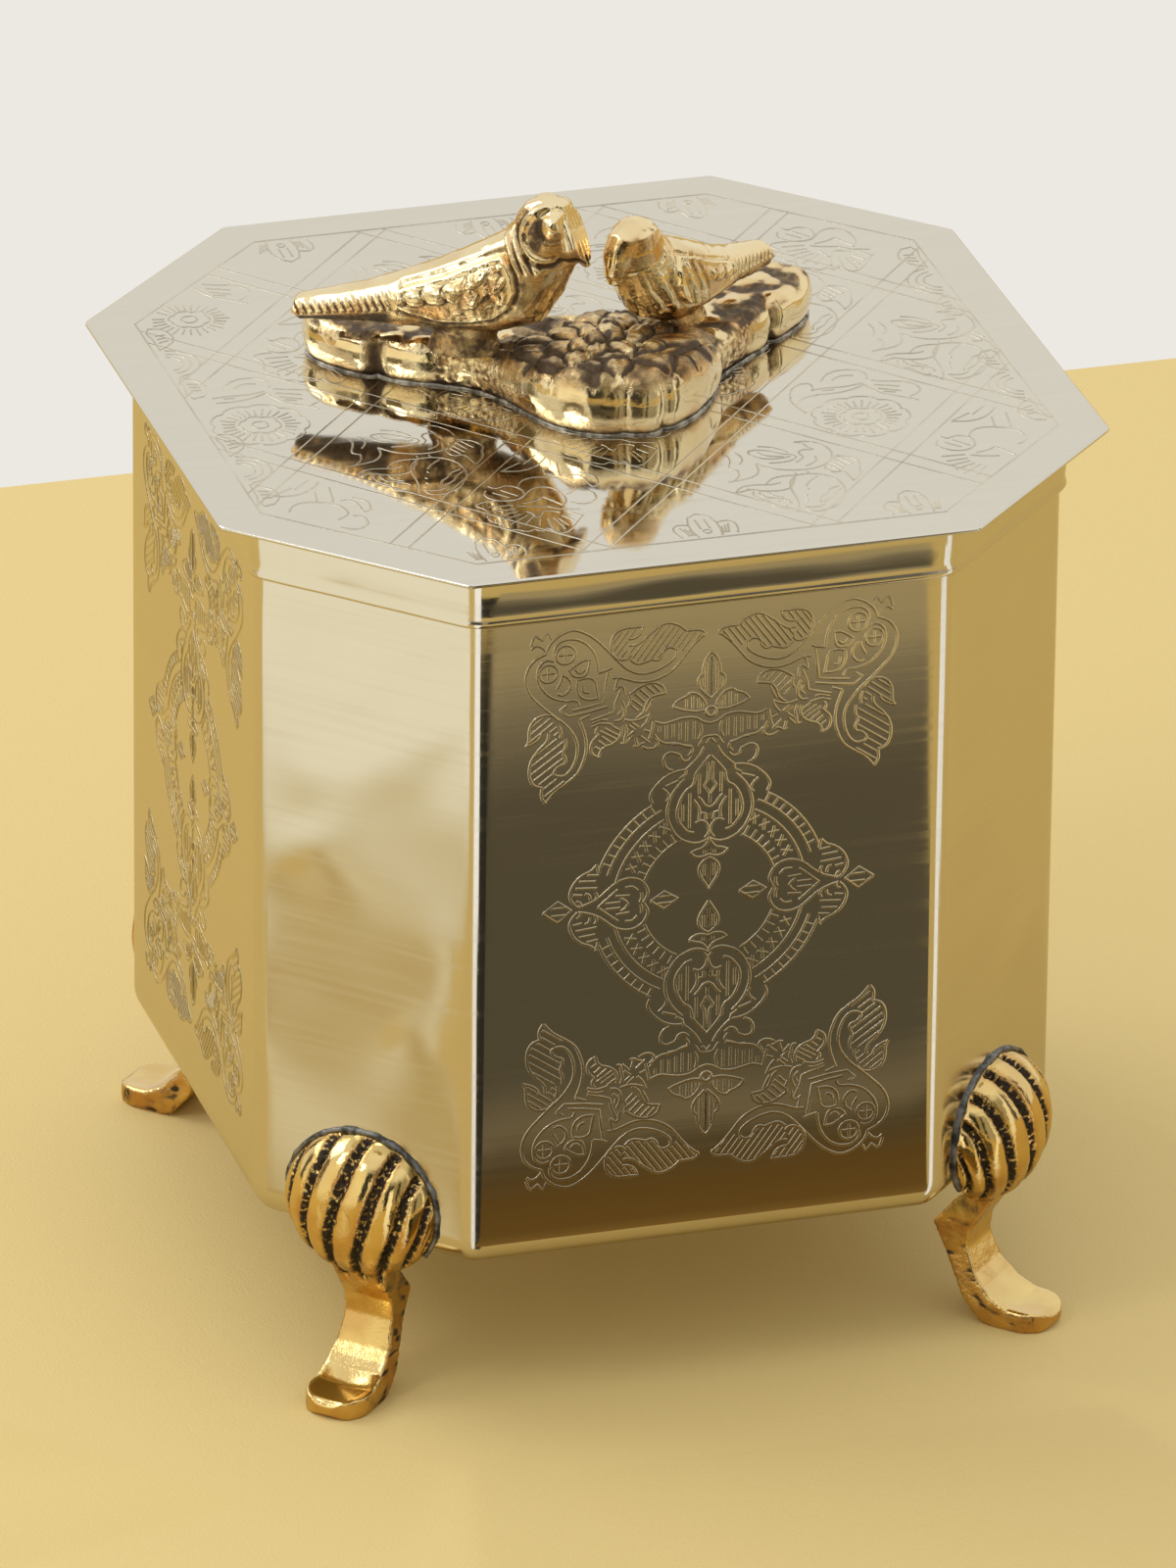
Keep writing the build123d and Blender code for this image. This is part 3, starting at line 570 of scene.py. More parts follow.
softbox("back_left_softbox", (-1.2, 0.9, 1.5), 1.1, 1.1, 10.0)
softbox("front_left_softbox", (-1.08, -0.40, 1.2), 0.36, 0.62, 3.2)
print("room and lamps ready")

# %% [markdown]
# ## Chasing the ornament
#
# Each engraved line is a path that a tool followed, so it is drawn as a curve and Geometry
# Nodes run one small section along all of them: a matt floor between two raised burrs. A
# texture could draw the lines too, but it would not catch light from the side, and it would
# blur close up. The ornament is alike in all four quarters of a face, so only one quarter is
# drawn, and the tree mirrors it before it sweeps.

# %% A tree and its loom
def tree(name, inputs):
    """A Geometry Nodes tree with the named inputs, each (name, socket type, value)."""
    made = bpy.data.node_groups.new(name, "GeometryNodeTree")
    made.interface.new_socket("Geometry", in_out="OUTPUT", socket_type="NodeSocketGeometry")
    made.interface.new_socket("Geometry", in_out="INPUT", socket_type="NodeSocketGeometry")
    for label, kind, value in inputs:
        socket = made.interface.new_socket(label, in_out="INPUT", socket_type=kind)
        if value is not None:
            socket.default_value = value
    return made


class Loom(Bench):
    """The same bench for a Geometry Nodes tree."""

    def __init__(self, made):
        self.tree = made
        self.way_in = made.nodes.new("NodeGroupInput")
        self.way_out = made.nodes.new("NodeGroupOutput")

    def given(self, name):
        return Signal(self, self.way_in.outputs[name])

    def join(self, *parts):
        node = self.tree.nodes.new("GeometryNodeJoinGeometry")
        for part in parts:
            self.tree.links.new(part.socket, node.inputs[0])
        return Signal(self, node.outputs[0])

    def corner(self, x, y):
        return self.add("ShaderNodeCombineXYZ", None, {0: x, 1: y})

    def by_number(self, places):
        """The place whose number is the point's own."""
        switch = self.tree.nodes.new("GeometryNodeIndexSwitch")
        switch.data_type = "VECTOR"
        while len(switch.index_switch_items) < len(places):
            switch.index_switch_items.new()
        number = self.tree.nodes.new("GeometryNodeInputIndex")
        self.tree.links.new(number.outputs[0], switch.inputs["Index"])
        for count, place in enumerate(places):
            self.tree.links.new(place.socket, switch.inputs[count + 1])
        return Signal(self, switch.outputs[0])

    def give(self, geometry):
        """The tree's result, in the finish that it was given."""
        solid = self.add("GeometryNodeRealizeInstances", None, {0: geometry})
        values = {"Geometry": solid, "Material": self.given("Finish")}
        dressed = self.add("GeometryNodeSetMaterial", None, values)
        self.tree.links.new(dressed.socket, self.way_out.inputs[0])
        return self.tree


# %% The chasing tree
def chasing_tree(name, mirrored):
    loom = Loom(tree(name, [
        ("Half width", "NodeSocketFloat", 0.36 * MM),
        ("Burr", "NodeSocketFloat", 0.13 * MM),
        ("Floor", "NodeSocketFloat", 0.0),
        ("Root", "NodeSocketFloat", -0.05 * MM),
        ("Finish", "NodeSocketMaterial", None),
    ]))
    lines = loom.given("Geometry")
    if mirrored:
        for flip in ((-1, 1, 1), (1, -1, 1)):
            other = loom.add("GeometryNodeTransform", None, {"Geometry": lines, "Scale": flip})
            lines = loom.join(lines, other)
    lines = loom.add("GeometryNodeSetCurveNormal", {"mode": "Z_UP"}, {"Curve": lines})
    # the sweep turns the section over, so its heights are written downwards
    half, burr = loom.given("Half width"), loom.given("Burr") * -1.0
    floor, root = loom.given("Floor") * -1.0, loom.given("Root") * -1.0
    section = [
        loom.corner(half * -1.0, root),
        loom.corner(half * -0.6, burr),
        loom.corner(0.0, floor),
        loom.corner(half * 0.6, burr),
        loom.corner(half, root),
    ]
    corners = {"Resolution": len(section), "Radius": 1.0}
    ring = loom.add("GeometryNodeCurvePrimitiveCircle", None, corners)
    values = {"Geometry": ring, "Position": loom.by_number(section)}
    profile = loom.add("GeometryNodeSetPosition", None, values)
    return loom.give(loom.add("GeometryNodeCurveToMesh", None, {
        "Curve": lines, "Profile Curve": profile, "Fill Caps": True,
    }))


# %% From strokes to a mesh
def strokes_to_curve(name, strokes, resolution=3):
    """Strokes, each (smooth, points in metres), as one flat curve object."""
    curve = bpy.data.curves.new(name, "CURVE")
    curve.dimensions = "3D"
    curve.resolution_u = resolution
    for smooth, points in strokes:
        spline = curve.splines.new("BEZIER")
        spline.bezier_points.add(len(points) - 1)
        for knot, (x, y) in zip(spline.bezier_points, points):
            knot.co = (x, y, 0)
            knot.handle_left_type = knot.handle_right_type = "AUTO" if smooth else "VECTOR"
        spline.resolution_u = resolution if smooth else 1
    return stood(name, curve)


def grown(name, source, grower, settings):
    """Run a tree on an object and keep the result as a plain mesh object."""
    modifier = source.modifiers.new("grower", "NODES")
    modifier.node_group = grower
    for item in grower.interface.items_tree:
        if item.item_type == "SOCKET" and item.name in settings:
            modifier[item.identifier] = settings[item.name]
    bpy.context.view_layer.update()
    seen = source.evaluated_get(bpy.context.evaluated_depsgraph_get())
    mesh = bpy.data.meshes.new_from_object(seen)
    mesh.name = name
    bpy.data.objects.remove(source)
    return stood(name, mesh)


def triangles(made):
    return sum(len(p.vertices) - 2 for p in made.data.polygons)


# %% [markdown]
# ## Bent sheet
#
# Wall, skirt and lid plate are sheet metal bent by hand. Their solids are exact, and exact
# sheet looks like plastic: real sheet bows a little between its bends, its cut edges are
# rounded by the file, and the skirt's lower edge is rolled. So each is made again in its
# solid's place as rings of points, one ring for each height of its section. A swept curve
# could do that too, but the bends must grow tighter towards the inside of the sheet.

# %% Rings round the box, in millimetres
HALF_BODY, CORNER_CUT, BEND = 81.6, 34.1, 6.2
BODY_LOW, BODY_HIGH = 31.5, 182.1
SHEET = 0.8
CORNER_FACE = (2 * HALF_BODY - CORNER_CUT) / math.sqrt(2)


def eight_sided(grow, bend):
    """Points of the box's outline moved outwards by grow: place, outwards, bearing, along."""
    ring = []
    for number in range(8):
        bearing = 45.0 * number
        corner = number % 2 == 1
        reach = (CORNER_FACE if corner else HALF_BODY) + grow
        other = (HALF_BODY if corner else CORNER_FACE) + grow
        half = (other - reach * math.cos(math.pi / 4)) / math.sin(math.pi / 4)
        flat = half - bend * math.tan(math.pi / 8)
        out = Vector((math.cos(math.radians(bearing)), math.sin(math.radians(bearing)), 0))
        side = Vector((-out.y, out.x, 0))
        steps = 20 if corner else 24
        for i in range(steps + 1):
            along = flat * (2 * i / steps - 1)
            ring.append((out * reach + side * along, out, bearing, along / half))
        hub = out * (reach - bend) + side * flat
        for i in range(1, 6):
            a = math.radians(bearing + 45.0 * i / 6)
            turned = Vector((math.cos(a), math.sin(a), 0))
            ring.append((hub + turned * bend, turned, bearing, 1.0))
    return ring


# %% A sheet-metal piece
def skin(work, rings, closed=False):
    """Faces between each ring of points and the next; ends are capped unless it is closed."""
    for one, two in zip(rings, rings[1:] + rings[:1] if closed else rings[1:]):
        for i in range(len(one)):
            j = (i + 1) % len(one)
            work.faces.new((one[i], one[j], two[j], two[i]))
    if not closed:
        work.faces.new(list(reversed(rings[0])))
        work.faces.new(rings[-1])


def finished_mesh(name, work):
    mesh = bpy.data.meshes.new(name)
    work.to_mesh(mesh)
    work.free()
    return mesh


def sheet_piece(name, section, bow, finish, closed=True):
    """A skin through rings; section is (grow, bend, height), bow moves a point outwards."""
    work = bmesh.new()
    rings = []
    for grow, bend, height in section:
        points = []
        for place, out, bearing, along in eight_sided(grow, bend):
            push = bow(bearing, along, height) if bow else 0.0
            points.append(work.verts.new((place + out * push + Vector((0, 0, height))) * MM))
        rings.append(points)
    skin(work, rings, closed)
    mesh = finished_mesh(name, work)
    mesh.shade_smooth()
    mesh.materials.append(finish)
    return stood(name, mesh)


def stand_in(made, node, body):
    """Put a shaped piece in its solid's place and on its body."""
    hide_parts(node)
    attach(made, body)
    print(made.name, triangles(made), "triangles")


# %% Numbers for shaping
def run(first, last, count):
    """Even steps from first to last."""
    return [first + (last - first) * i / count for i in range(count + 1)]


def ease(value, low, high):
    """0 below low, 1 above high, with an eased run in between."""
    t = min(1.0, max(0.0, (value - low) / (high - low)))
    return t * t * (3 - 2 * t)


def grain(point, pitch, seed=0.0):
    """Smooth noise between -1 and 1 with lumps about pitch millimetres wide."""
    return noise.noise(Vector(point) / pitch + Vector((seed, seed * 1.7, -seed)))


# %% The wall
FLANGE = -10.0  # how far the wall's bottom is turned in
TIGHT = 0.3  # the smallest bend
RIM = 0.3  # how much the file rounds the top edge


def wall_section():
    """Under the flange, up the outside, over the rim, down the inside and over the flange."""
    edge, inner = 6.6, 5.8
    rows = [(grow, TIGHT, BODY_LOW) for grow in (FLANGE, -8.4, -6.9)]
    for a in run(0, math.pi / 2, 8):
        grow = edge * (math.sin(a) - 1)
        rows.append((grow, max(TIGHT, BEND + grow), BODY_LOW + edge * (1 - math.cos(a))))
    rows += [(0.0, BEND, z) for z in run(BODY_LOW + edge + 1.0, BODY_HIGH - RIM, 62)]
    for a in run(math.pi / 8, math.pi * 7 / 8, 4):
        grow = -0.4 + 0.4 * math.cos(a)
        rows.append((grow, BEND + grow, BODY_HIGH - RIM + RIM * math.sin(a)))
    rows += [(-SHEET, BEND - SHEET, z) for z in run(BODY_HIGH - RIM, BODY_LOW + edge + 1.0, 30)]
    for a in run(math.pi / 2, 0, 5):
        grow = -SHEET + inner * (math.sin(a) - 1)
        rows.append((grow, max(TIGHT, BEND + grow), BODY_LOW + SHEET + inner * (1 - math.cos(a))))
    rows += [(grow, TIGHT, BODY_LOW + SHEET) for grow in (-7.0, FLANGE)]
    return rows


def wall_bow(bearing, along, height):
    """The corner faces sink and swell; the engraved faces stay flat."""
    if bearing % 90 == 0 or abs(along) >= 1.0:
        return 0.0
    mask = (1 - along**4) * ease(height, 60, 84) * ease(height, 168, 160)
    seed = bearing * 0.037
    slant = (height - 120) * 0.55 - along * 24
    swell = grain((slant, along * 9, seed), 30.0) + 0.45 * grain((slant, height, seed + 5), 17.0)
    swell *= 1.7
    # a soft crease where a swelling turns into a hollow
    swell = 0.7 * swell + 0.3 * (math.sqrt(swell * swell + 0.09) - 0.3)
    return mask * (swell - 0.1)


shaped_wall = sheet_piece("shaped_wall", wall_section(), wall_bow, wall_metal)
stand_in(shaped_wall, "body_wall", "box")


# %% The skirt
SKIRT = 12.1
SKIRT_LOW = BODY_HIGH - SKIRT
SKIRT_EDGE_TOP = 2.4
# the rolled lower edge: how far out, how much wider the bend, and how high
ROLLED_EDGE = (
    (0.45, 0.45, 0.1), (0.75, 0.75, 0.0), (1.12, 1.1, 0.12), (1.32, 1.3, 0.45), (1.34, 1.3, 0.8),
    (1.22, 1.2, 1.2), (1.08, 1.1, 1.7), (1.04, 1.1, SKIRT_EDGE_TOP),
)


def skirt_section():
    rows = [(grow, BEND + wider, SKIRT_LOW + up) for grow, wider, up in ROLLED_EDGE]
    for t in run(0.1, 1.0, 12):
        up = SKIRT_LOW + SKIRT_EDGE_TOP + (SKIRT - SKIRT_EDGE_TOP) * t
        rows.append((1.06 + 0.22 * math.sin(math.pi * t), BEND + 1.1, up))
    rows += [(0.4, BEND + 0.4, z) for z in run(BODY_HIGH, SKIRT_LOW + 0.5, 3)]
    return rows


def skirt_bow(bearing, along, height):
    if abs(along) >= 1.0:
        return 0.0
    mask = (1 - along**6) * ease(height, BODY_HIGH, BODY_HIGH - 2)
    seed = bearing * 0.021
    return mask * 0.16 * grain((along * 40, height * 2.2, seed), 17.0)


shaped_skirt = sheet_piece("shaped_skirt", skirt_section(), skirt_bow, skirt_metal)
stand_in(shaped_skirt, "lid_skirt", "lid")

# %% The plate
PLATE = 8.4
plate_low, plate_high = BODY_HIGH, BODY_HIGH + 0.9
plate_section = [
    (PLATE - 1.6, 1.4, plate_low), (PLATE - 0.5, 2.2, plate_low),
    (PLATE - 0.15, 2.4, plate_low + 0.12), (PLATE, 2.5, plate_low + 0.4),
    (PLATE, 2.5, plate_high - 0.4), (PLATE - 0.12, 2.4, plate_high - 0.12),
    (PLATE - 0.4, 2.2, plate_high), (PLATE - 0.8, 2.0, plate_high), (PLATE - 1.6, 1.4, plate_high),
]
shaped_plate = sheet_piece("shaped_plate", plate_section, None, lid_metal, closed=False)
stand_in(shaped_plate, "lid_plate", "lid")

# %% [markdown]
# ## The ornament of the wide faces
#
# The pattern could be one flat shape cut out of the sheet, but a chaser works stroke by
# stroke, so each stroke is written down as its own short row of points, for one quarter of
# the face. They are measured from the middle of the face in tenths of a millimetre, sideways
# and upwards. `s` is a stroke cut in one sweep, `l` is made of straight cuts, and `h` is a leaf
# that is filled with hatching: its slope in degrees, its spacing and its outline. The outer
# part is a scroll with a pod of seeds, two hatched leaves and a swag of small leaves. The
# middle is a medallion with palmettes, hearts and rings.

# %% Strokes of the corner scrolls
SCROLL_STROKES = """
s 331 238  313 259  291 274  269 292  257 316  251 342  253 370  259 390  265 406
l 265 406  244 414
s 308 292  296 291  285 298  275 314  269 339  271 363  281 383  296 402  318 422  342 445
  364 471  373 496  371 521  360 539  345 549  333 554
s 333 554  328 569  315 584  298 594  279 598  257 590  235 574  209 546  186 519  164 499
  142 490  121 491  98 499  82 509  72 520  71 533
s 200 487  187 487  172 482  150 474  126 472  98 479  74 494  55 517  37 539  21 554
s 266 437  271 447  293 450  318 459  337 476  348 496  350 516  345 531  332 540  317 537
s 316 551  315 565  305 576  289 580  264 574  245 557  233 533  228 502
l 279 428  248 432  217 438  213 471  208 501   l 228 502  209 506  201 510
l 291 440  305 432  288 417  248 421  209 428   l 242 402  209 411  196 416  193 435  182 460
l 194 464  189 484  184 487
s 309 467  300 463  289 469  283 483  288 497  299 506
s 299 506  303 492  311 478
s 286 514  279 503  266 498  254 501  248 513  245 532
s 245 532  259 531  274 523  286 514
s 274 514  265 506  255 512
s 228 448  248 448  263 456  270 472  269 491
s 269 491  252 494  237 488  232 470  228 448
s 259 478  257 466  246 462
s 363 567  355 573  343 570  333 559
l 364 574  359 590  354 594  341 584  330 596  322 583
s 332 237  340 251  339 271
s 339 271  354 277  362 289  365 304  364 319  359 334  347 351  334 364  328 374  327 386
s 372 362  367 371  366 389  363 405  353 418  336 424  319 421  308 409
s 372 362  357 368  345 377  339 389
s 308 292  315 297  312 306  304 313  294 317  292 327  297 339  292 355  293 371
s 303 373  302 386  307 399
s 21 554  14 559  20 567  35 570  51 570
s 51 570  62 580  74 587  89 591  103 588  118 578  132 567  144 557  155 552  168 553
s 138 591  154 590  172 590  188 586  199 575  203 559  202 542  194 530
s 138 591  142 579  154 568  169 566
s 194 530  181 524  170 525  164 532
s 164 522  150 512  133 514  121 518
s 121 518  109 515  100 523  96 534  84 539  71 533
s 115 358  103 342  90 335  72 333  55 327  38 323
s 113 384  96 378  76 381  55 385  30 382  14 372  0 368
s 25 337  19 352  22 371
l 104 362  104 374   l 90 345  90 375   l 76 346  76 375   l 62 341  62 376   l 49 335  49 376
l 34 338  34 376
s 0 341  13 339  20 329  25 322
s 183 346  176 346  173 359  170 373  174 386
l 171 345  157 360   l 167 360  154 370
s 156 337  147 336  140 340  132 342
l 148 338  152 354
s 138 334  125 328  112 330  107 338  115 350
l 143 358  124 341
s 124 349  120 362  116 385
l 166 383  153 372   l 160 388  146 376
s 140 375  131 385  123 403
l 135 369  123 364
s 225 322  236 328  242 340  240 354  233 363  227 369
s 227 369  232 376  227 387
s 225 322  222 334  214 342  200 347  187 356  181 369  182 384
l 234 345  223 338   l 227 357  213 345   l 221 366  201 350   l 223 377  190 356
l 214 382  184 362   l 201 386  183 374
s 175 396  160 392  144 393  127 399
s 150 396  137 407  130 425  121 437  107 441  93 443
s 93 443  98 457  111 466  129 467  146 461  165 448
s 165 448  163 435  168 423
s 131 407  123 421  118 435
l 161 425  148 411   l 161 439  139 419   l 154 449  134 429   l 144 457  125 438
l 132 463  114 445   l 118 464  103 448
s 241 388  225 393  209 391  199 388
s 240 396  220 401  209 399
s 195 395  181 398  174 411  176 427  181 438
s 189 407  182 415  185 427
s 195 460  181 468  175 447
s 2 422  14 434  23 445  27 460  24 469  18 474
s 18 474  17 487  13 502  6 514  0 519
l 20 449  20 466   l 11 437  11 498   l 0 429  0 508
s 10 406  13 415  20 425  30 434  43 437
s 43 437  50 431  60 427  70 421  77 411
s 77 411  64 405  49 400  30 396  13 397
l 50 406  50 425   l 38 403  38 430   l 26 402  26 425   l 18 402  18 415
"""

# %% Strokes of the medallion
MEDALLION_STROKES = """
s 0 336  9 326
s 13 319  22 302  36 286  48 275
l 48 275  50 264  63 256
s 51 255  62 244  71 233  78 221  83 207  86 191  85 173  79 156  70 139  58 126
s 58 126  45 119  28 114  13 116  0 123
s 0 299  12 286  23 272  30 262
s 30 262  32 247  37 237  46 231  56 218  63 201  66 183  63 166  55 153  44 141  32 137
s 29 157  20 161  10 158  3 147  2 134  9 124
s 34 208  26 197  21 184  22 165
s 26 214  18 206  10 194  0 188
l 6 286  4 272  5 248  12 236  0 218  0 197   l 22 262  22 219   l 41 223  41 148
l 55 200  55 164   l 19 178  9 176  8 163   l 0 178  0 163
s 76 275  88 282  94 295  93 307  84 314  72 312  62 306  58 297  47 293  37 301
s 44 304  37 314  39 321
s 39 321  50 324  63 330  79 331
s 50 274  69 272  89 264  105 251  117 236  121 224  116 210
s 98 240  88 231  83 219  88 211
l 90 243  64 252
s 264 5  245 10  225 19  209 31  191 46  172 54  152 54  136 46  126 32  123 19  128 7  132 0
s 224 0  209 13  196 24  183 34
s 169 36  154 36  144 27
s 136 22  136 9  139 2
l 188 20  160 18   l 209 6  179 6
s 177 14  168 7  163 0
s 227 92  238 81  254 74  267 64  277 49  281 31  275 16  265 5
l 227 92  223 74   l 246 72  223 69   l 262 60  229 57   l 269 46  226 42   l 274 33  256 30
s 267 19  260 14  258 5
s 250 33  242 29  239 19
s 230 34  226 26  230 15
l 335 0  305 22  277 0   l 318 8  289 8   l 117 0  90 18  62 0   l 103 7  74 7
s 0 122  6 110  15 102  26 99  38 94
s 38 94  29 86  16 83  0 87
l 10 97  10 90   l 0 102  0 92
s 0 81  13 72  20 59  18 44  10 29  0 13
l 10 68  10 42   l 0 72  0 27
"""

# %% Hatched leaves, seeds and the eye of a flower
HATCHED_LEAVES = """
h -35 13  331 241  316 258  287 280  305 288  315 291  314 304  305 313  294 318  292 327  297 340
  292 355  293 371  318 375  329 369  347 351  359 334  364 319  365 304  362 289  354 277
  339 271  340 251
h -37 12  370 365  355 369  343 378  339 389  327 385  325 375  303 377  302 391  310 406  320 420
  337 423  354 417  364 403  366 385
h -54 11.5  16 559  23 567  35 570  51 570  62 580  74 587  89 591  103 588  118 578  132 567
  144 557  164 552  169 536  164 522  150 512  133 514  121 518  109 515  100 523  96 534  84 539
  71 533  64 524  50 528
h -54 11.5  140 590  154 590  172 590  188 586  199 575  203 559  202 542  194 530  181 524
  172 531  169 551  169 567  154 570  142 579
"""
SEEDS = ((32.8, 51.2, 1.85), (29.4, 54.8, 1.95))
FLOWER_EYE = (0.1, 39.3, 0.98)

# %% Reading the strokes
def read_marks(text):
    """Marks, each (letter, numbers)."""
    marks = []
    for word in text.split():
        if word.isalpha():
            marks.append((word, []))
        else:
            marks[-1][1].append(float(word))
    return marks


def pairs(numbers):
    """Numbers in tenths of a millimetre as points in metres."""
    lengths = [number * 0.1 * MM for number in numbers]
    return list(zip(lengths[0::2], lengths[1::2]))


def read_strokes(text):
    return [(letter == "s", pairs(numbers)) for letter, numbers in read_marks(text)]


print(len(read_marks(SCROLL_STROKES + MEDALLION_STROKES)), "strokes in a quarter by hand")


# %% Hatching, arcs and cuts
def hatching(outline, slope, pitch, inset=0.45 * MM, shortest=0.3 * MM):
    """Parallel cuts that fill an outline and stop a little inside it."""
    a = math.radians(slope)
    along, across = Vector((math.cos(a), math.sin(a))), Vector((-math.sin(a), math.cos(a)))
    turned = [(Vector(p).dot(along), Vector(p).dot(across)) for p in outline]
    low, high = min(q for _, q in turned), max(q for _, q in turned)
    count = int((high - low) / pitch)
    cuts = []
    for i in range(1, count + 1):
        level = low + (i - 0.3) * (high - low) / (count + 0.4)
        crossings = []
        for (p0, q0), (p1, q1) in zip(turned, turned[1:] + turned[:1]):
            if (q0 <= level) != (q1 <= level):
                crossings.append(p0 + (level - q0) / (q1 - q0) * (p1 - p0))
        crossings.sort()
        for start, end in zip(crossings[0::2], crossings[1::2]):
            start, end = start + inset, end - inset
            if end - start > shortest:
                ends = [along * s + across * level for s in (start, end)]
                cuts.append((False, [tuple(p) for p in ends]))
    return cuts


def round_stroke(x, y, radius, first=0.0, last=360.0, knots=12):
    """An arc about (x, y), in millimetres and degrees."""
    points = []
    for i in range(knots + 1):
        a = math.radians(first + (last - first) * i / knots)
        points.append(((x + radius * math.cos(a)) * MM, (y + radius * math.sin(a)) * MM))
    return (True, points)


def cut(*points):
    """One straight cut, in millimetres."""
    return (False, [(x * MM, y * MM) for x, y in points])


# %% The rings between the medallion's hearts
def ray(inner, outer, bearing, lean=0.0):
    """A short cut across a ring; the face is a touch taller than wide."""
    places = []
    for radius, side in ((inner, -lean), (outer, lean)):
        a = math.radians(bearing + side)
        places.append((radius * 0.975 * math.cos(a), radius * 1.01 * math.sin(a)))
    return cut(*places)


def ring_strokes():
    strokes = []
    for radius, first, last in ((23.8, 20, 60.5), (21.7, 18, 63), (19.6, 14, 62), (13.9, 20, 62)):
        strokes.append(round_stroke(0, 0, radius * 0.992, first, last, 8))
    strokes += [ray(21.9, 23.7, 22.5 + 5.1 * i) for i in range(8)]
    strokes += [ray(14.1, 16.0, 24 + 7 * i) for i in range(6)]
    for i in range(5):
        strokes += [ray(16.8, 18.8, 25 + 8.4 * i, lean) for lean in (-2.3, 2.3)]
    return strokes


def face_strokes():
    strokes = read_strokes(SCROLL_STROKES) + read_strokes(MEDALLION_STROKES) + ring_strokes()
    for _, (slope, pitch, *outline) in read_marks(HATCHED_LEAVES):
        strokes += hatching(pairs(outline), slope, pitch * 0.1 * MM)
    for x, y, radius in SEEDS:
        reach = radius * 0.72
        strokes += [
            round_stroke(x, y, radius),
            cut((x - reach, y), (x + reach, y)),
            cut((x, y - reach), (x, y + reach)),
        ]
    strokes.append(round_stroke(*FLOWER_EYE))
    return strokes


# %% Engrave the four wide faces
ORNAMENT_HEIGHT = 107.4 * MM
half_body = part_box("body_wall")[1].y
mirrored_chasing = chasing_tree("chasing_mirrored", True)
quarter = face_strokes()
upright = Matrix.Rotation(math.radians(90), 4, "X")
on_front = Matrix.Translation((0, -half_body, ORNAMENT_HEIGHT)) @ upright
deep_tool = {"Finish": wall_groove}
# the side faces take the darker groove metal, which is painted shade
light_tool = {"Finish": shaded_side_groove, "Burr": 0.085 * MM}
for face, bearing, tool in (
    ("front", 0, deep_tool), ("right", 90, light_tool),
    ("back", 180, deep_tool), ("left", 270, light_tool),
):
    drawn = strokes_to_curve(f"drawn_{face}", quarter)
    ornament = grown(f"ornament_{face}", drawn, mirrored_chasing, tool)
    ornament.data.transform(Matrix.Rotation(math.radians(bearing), 4, "Z") @ on_front)
    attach(ornament, "box")
    print(ornament.name, len(quarter), "strokes a quarter,", triangles(ornament), "triangles")

# %% [markdown]
# ## Carving a casting
#
# The feet, the plinth and the birds are cast brass, chased by hand. Their solids have the
# right size but smooth faces. Sculpting by hand can't be repeated, so each casting is carved
# by rule: its form is turned into an even skin of small squares by a voxel remesh, and a
# function then says for every point how far to press it in. The depth is kept as `hollow`
# for the brass finish, and what the polishing wheel reaches is kept as `rubbed`.

# %% A skin to carve
def merged_copy(name):
    """The outline of a solid as one closed mesh."""
    mesh = nodes[name].data.copy()
    work = bmesh.new()
    work.from_mesh(mesh)
    bmesh.ops.remove_doubles(work, verts=work.verts, dist=0.001 * MM)
    work.to_mesh(mesh)
    work.free()
    return mesh


def even_skin(name, mesh, voxel, rounds):
    """The mesh as small even squares, softened by a few rounds of smoothing."""
    made = stood(name, mesh)
    skin = made.modifiers.new("skin", "REMESH")
    skin.mode = "VOXEL"
    skin.voxel_size = voxel * MM
    soften = made.modifiers.new("soften", "SMOOTH")
    soften.factor = 0.5
    soften.iterations = rounds
    bpy.context.view_layer.update()
    seen = made.evaluated_get(bpy.context.evaluated_depsgraph_get())
    finished = bpy.data.meshes.new_from_object(seen)
    made.modifiers.clear()
    made.data = finished
    return made


# %% Carving by a rule
def carve(made, rule, place=Matrix.Identity(4), finish=cast_brass):
    """Move each point by what the rule says; place turns the piece's own axes into the box's."""
    mesh = made.data
    back = place.inverted()
    turn = place.to_3x3()
    turn_back = turn.inverted()
    hollow = mesh.attributes.new("hollow", "FLOAT", "POINT")
    rubbed = mesh.attributes.new("rubbed", "FLOAT", "POINT")
    moves = []
    for vertex in mesh.vertices:
        local = (back @ vertex.co) / MM
        move, depth, shine = rule(local, (turn_back @ vertex.normal).normalized())
        moves.append(turn @ move * MM)
        hollow.data[vertex.index].value = min(1.0, max(0.0, depth))
        rubbed.data[vertex.index].value = min(1.0, max(0.0, shine))
    for vertex, move in zip(mesh.vertices, moves):
        vertex.co += move
    mesh.shade_smooth()
    mesh.materials.clear()
    mesh.materials.append(finish)


# %% [markdown]
# ## The feet
#
# Each foot is a gadrooned knee, a bent leg and a flat toe. The knee's ribs are parted by
# dark, punched grooves that spread like a fan and lean a little, to one side on a left foot
# and to the other on its mirrored partner. Towards the toe the top is buffed bright, and the
# sides keep the scratches of a file. The ribs could be cut into the solids too, but the
# punch marks and the wear could not, so both come from one rule.

# %% The knee's ribs
KNEE_WIDTH, KNEE_HEIGHT, KNEE_BULGE, KNEE_MIDDLE = 16.5, 15.0, 10.5, 41.0
KNEE_END = 22.0
RIB_SPREAD = 26.0  # degrees from one groove to the next
RIB_START = 0.25  # where the middle rib lies, as a share of that
RIB_LEAN = 13.0  # degrees that a groove shifts over half the knee's height
RIB_DEPTH = 1.5
TOE_HALF_WIDTH = 5.4


